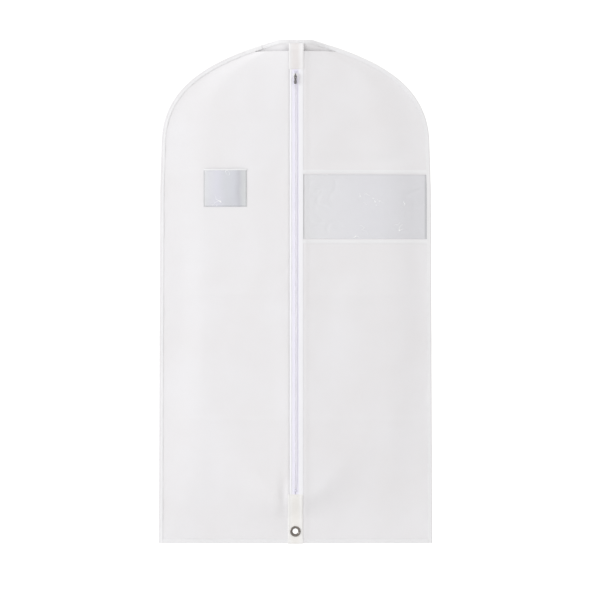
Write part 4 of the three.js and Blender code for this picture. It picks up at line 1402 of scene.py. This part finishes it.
SLIDER_TOP = SLIDER_HIGH.z
SLIDER_HALF = SLIDER_HIGH.x
SLIDER_FOOT = 0.0045
plate_half = [
    (0.0, SLIDER_TOP), (SLIDER_HALF * 0.45, SLIDER_TOP - 0.0001), (SLIDER_HALF * 0.8, SLIDER_TOP - 0.0007),
    (SLIDER_HALF * 0.96, SLIDER_TOP - 0.0018), (SLIDER_HALF, SLIDER_TOP - 0.0032),
    (SLIDER_HALF * 0.97, SLIDER_TOP - 0.0048), (SLIDER_FOOT, SLIDER_LOW.z + 0.0042),
    (SLIDER_FOOT, SLIDER_LOW.z + 0.0008), (SLIDER_FOOT - 0.0006, SLIDER_LOW.z), (0.0, SLIDER_LOW.z),
]
post_half = [
    (0.0, SLIDER_TOP - 0.0004), (0.00035, SLIDER_TOP - 0.0007),
    (0.00035, SLIDER_TOP - 0.0038), (0.0, SLIDER_TOP - 0.0044),
]
INSIDE_PLATE = SLIDER_LOW.y + PLATE - 0.0001
POST_LENGTH = SLIDER_HIGH.y - SLIDER_LOW.y - 2 * PLATE + 0.0002
LIP_WIDE = SLIDER_HALF * 0.94
LIP_OUT = SLIDER_FOOT - 0.0001
LIP_IN = SLIDER_FOOT - 0.0008
slider_pieces = [
    flat_piece("slider_front_plate", mirrored(plate_half), SLIDER_LOW.y, PLATE),
    flat_piece("slider_back_plate", mirrored(plate_half), SLIDER_HIGH.y - PLATE, PLATE),
    flat_piece("slider_post", mirrored(post_half), INSIDE_PLATE, POST_LENGTH, 0.0002),
]
for label, side in (("left", -1), ("right", 1)):
    lip = [
        (side * LIP_WIDE, SLIDER_TOP - 0.0038), (side * LIP_OUT, SLIDER_LOW.z + 0.0040),
        (side * LIP_OUT, SLIDER_LOW.z + 0.0003), (side * LIP_IN, SLIDER_LOW.z + 0.0003),
        (side * LIP_IN, SLIDER_LOW.z + 0.0044), (side * (LIP_WIDE - 0.0008), SLIDER_TOP - 0.0038),
    ]
    slider_pieces.append(flat_piece(f"slider_lip_{label}", lip, INSIDE_PLATE, 0.0016, 0.0002))
for piece in slider_pieces:
    piece.data.materials.append(BODY_METAL)
    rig.ride(piece, "slider")
    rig.slot(piece, "gunmetal")
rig.replaces(slider_pieces[0], "slider_body")

CAP_RISE = SLIDER_LOW.y - CAP_LOW.y
CAP_METAL = 0.0010


def cap_place(across, down):
    """The arch springs from the front plate near its top and comes down again below."""
    turn = math.pi * down
    flat_top = 1 - (1 - math.sin(turn)) ** 1.6
    z = lerp(CAP_HIGH.z, CAP_LOW.z, (1 - math.copysign(abs(math.cos(turn)) ** 0.8, math.cos(turn))) / 2)
    return lerp(CAP_LOW.x, CAP_HIGH.x, across), SLIDER_LOW.y + 0.0002 - (CAP_RISE - 0.0002) * flat_top, z


cap = cloth_piece("slider_arch", 4, 24, cap_place, CAP_METAL)
apply_modifier(cap, "BEVEL", width=0.0002, segments=2, limit_method="ANGLE")
cap.data.materials.append(GUNMETAL)
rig.ride(cap, "slider")
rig.replaces(cap, "slider_cap")
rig.slot(cap, "gunmetal")


# ----------------------------------------------------------------------
# Zip pull: a stamped zinc tab, grey like the arch, that hangs from the arch by a wide eye.
# It narrows below the eye and widens again into a rounded grip.

PULL_LOW, PULL_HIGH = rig.box("pull_tab")
PULL_HALF = PULL_HIGH.x
PULL_METAL = PULL_HIGH.y - PULL_LOW.y
EYE_HALF = 0.0021
EYE_HEIGHT = 0.005

head_z = PULL_HIGH.z - PULL_HALF
pull_half = [
    (PULL_HALF * math.sin(t), head_z + PULL_HALF * math.cos(t)) for t in np.linspace(0, math.pi * 0.62, 10)
]
pull_half += [
    (0.0024, PULL_HIGH.z - 0.0088), (0.0025, PULL_HIGH.z - 0.0105), (0.0030, PULL_HIGH.z - 0.0145),
]
foot_z = PULL_LOW.z + 0.0030
pull_half += [(0.0031 * math.cos(t), foot_z - 0.0030 * math.sin(t)) for t in np.linspace(0, math.pi / 2, 8)]
pull = flat_piece("zip_pull", mirrored(pull_half), PULL_LOW.y, PULL_METAL, 0.0003)
eye_middle = (0, (PULL_LOW.y + PULL_HIGH.y) / 2, PULL_HIGH.z - 0.0013 - EYE_HEIGHT / 2)
punch_hole([pull], eye_middle, EYE_HALF, EYE_HEIGHT / 2, 32)
select_only(pull)
bpy.ops.object.shade_smooth_by_angle(angle=math.radians(35))
pull.data.materials.append(GUNMETAL)
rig.ride(pull, "pull")
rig.replaces(pull, "pull_tab")
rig.slot(pull, "gunmetal")


# ----------------------------------------------------------------------
# Floor, light and camera: a pale floor under the hanging bag, a large soft light from the left,
# and the camera square on to the front.

bpy.ops.object.select_all(action="DESELECT")
FLOOR_Z = BAG_BOTTOM - 0.24
bpy.ops.mesh.primitive_plane_add(size=3.2, location=(0, -0.95, FLOOR_Z))
floor = bpy.context.object
floor.name = "floor"
floor_finish = bpy.data.materials.new("floor_finish")
floor_finish.use_nodes = True
floor_finish.node_tree.nodes["Principled BSDF"].inputs["Base Color"].default_value = (0.84, 0.84, 0.84, 1)
floor_finish.node_tree.nodes["Principled BSDF"].inputs["Roughness"].default_value = 0.9
floor.data.materials.append(floor_finish)
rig.stage(floor)

BAG_MIDDLE = Vector((0, 0, (BAG_TOP + BAG_BOTTOM) / 2))


def soft_light(name, place, size, power, colour=(1, 1, 1)):
    light = bpy.data.lights.new(name, "AREA")
    light.shape = "SQUARE"
    light.size = size
    light.energy = power
    light.color = colour
    lamp = bpy.data.objects.new(name, light)
    lamp.location = place
    lamp.rotation_mode = "QUATERNION"
    lamp.rotation_quaternion = (BAG_MIDDLE - Vector(place)).to_track_quat("-Z", "Y")
    bpy.context.scene.collection.objects.link(lamp)


soft_light("key_light", (-5.6, -2.9, 0.3), 3.0, 163, (0.94, 0.97, 1.0))
soft_light("top_light", (0.0, -0.4, 2.6), 2.4, 12)

world = bpy.data.worlds.new("studio")
bpy.context.scene.world = world
world.use_nodes = True
world.node_tree.nodes["Background"].inputs["Color"].default_value = (1, 0.995, 0.988, 1)
world.node_tree.nodes["Background"].inputs["Strength"].default_value = 0.77
seen = node(world.node_tree, "ShaderNodeLightPath", {}).outputs["Is Camera Ray"]
strength = node(world.node_tree, "ShaderNodeMix", {0: seen, 2: 0.77, 3: 1.1})
world.node_tree.links.new(strength.outputs[0], world.node_tree.nodes["Background"].inputs["Strength"])
bpy.context.scene.view_settings.view_transform = "Standard"

CAMERA_DISTANCE = 4.2
VIEW_WIDTH = 1.3224  # the width that the camera takes in at the bag
camera_data = bpy.data.cameras.new("camera")
camera_data.lens = camera_data.sensor_width * CAMERA_DISTANCE / VIEW_WIDTH
camera = bpy.data.objects.new("camera", camera_data)
camera.location = (0.0102, -CAMERA_DISTANCE, -0.5735)
camera.rotation_euler = (math.pi / 2, 0, 0)
bpy.context.scene.collection.objects.link(camera)
bpy.context.scene.camera = camera

with open("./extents.json", "w") as size_file:
    boxes = {"cad": cad_box, "visual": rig.bounds()}
    json.dump({name: [list(corner) for corner in box] for name, box in boxes.items()}, size_file)
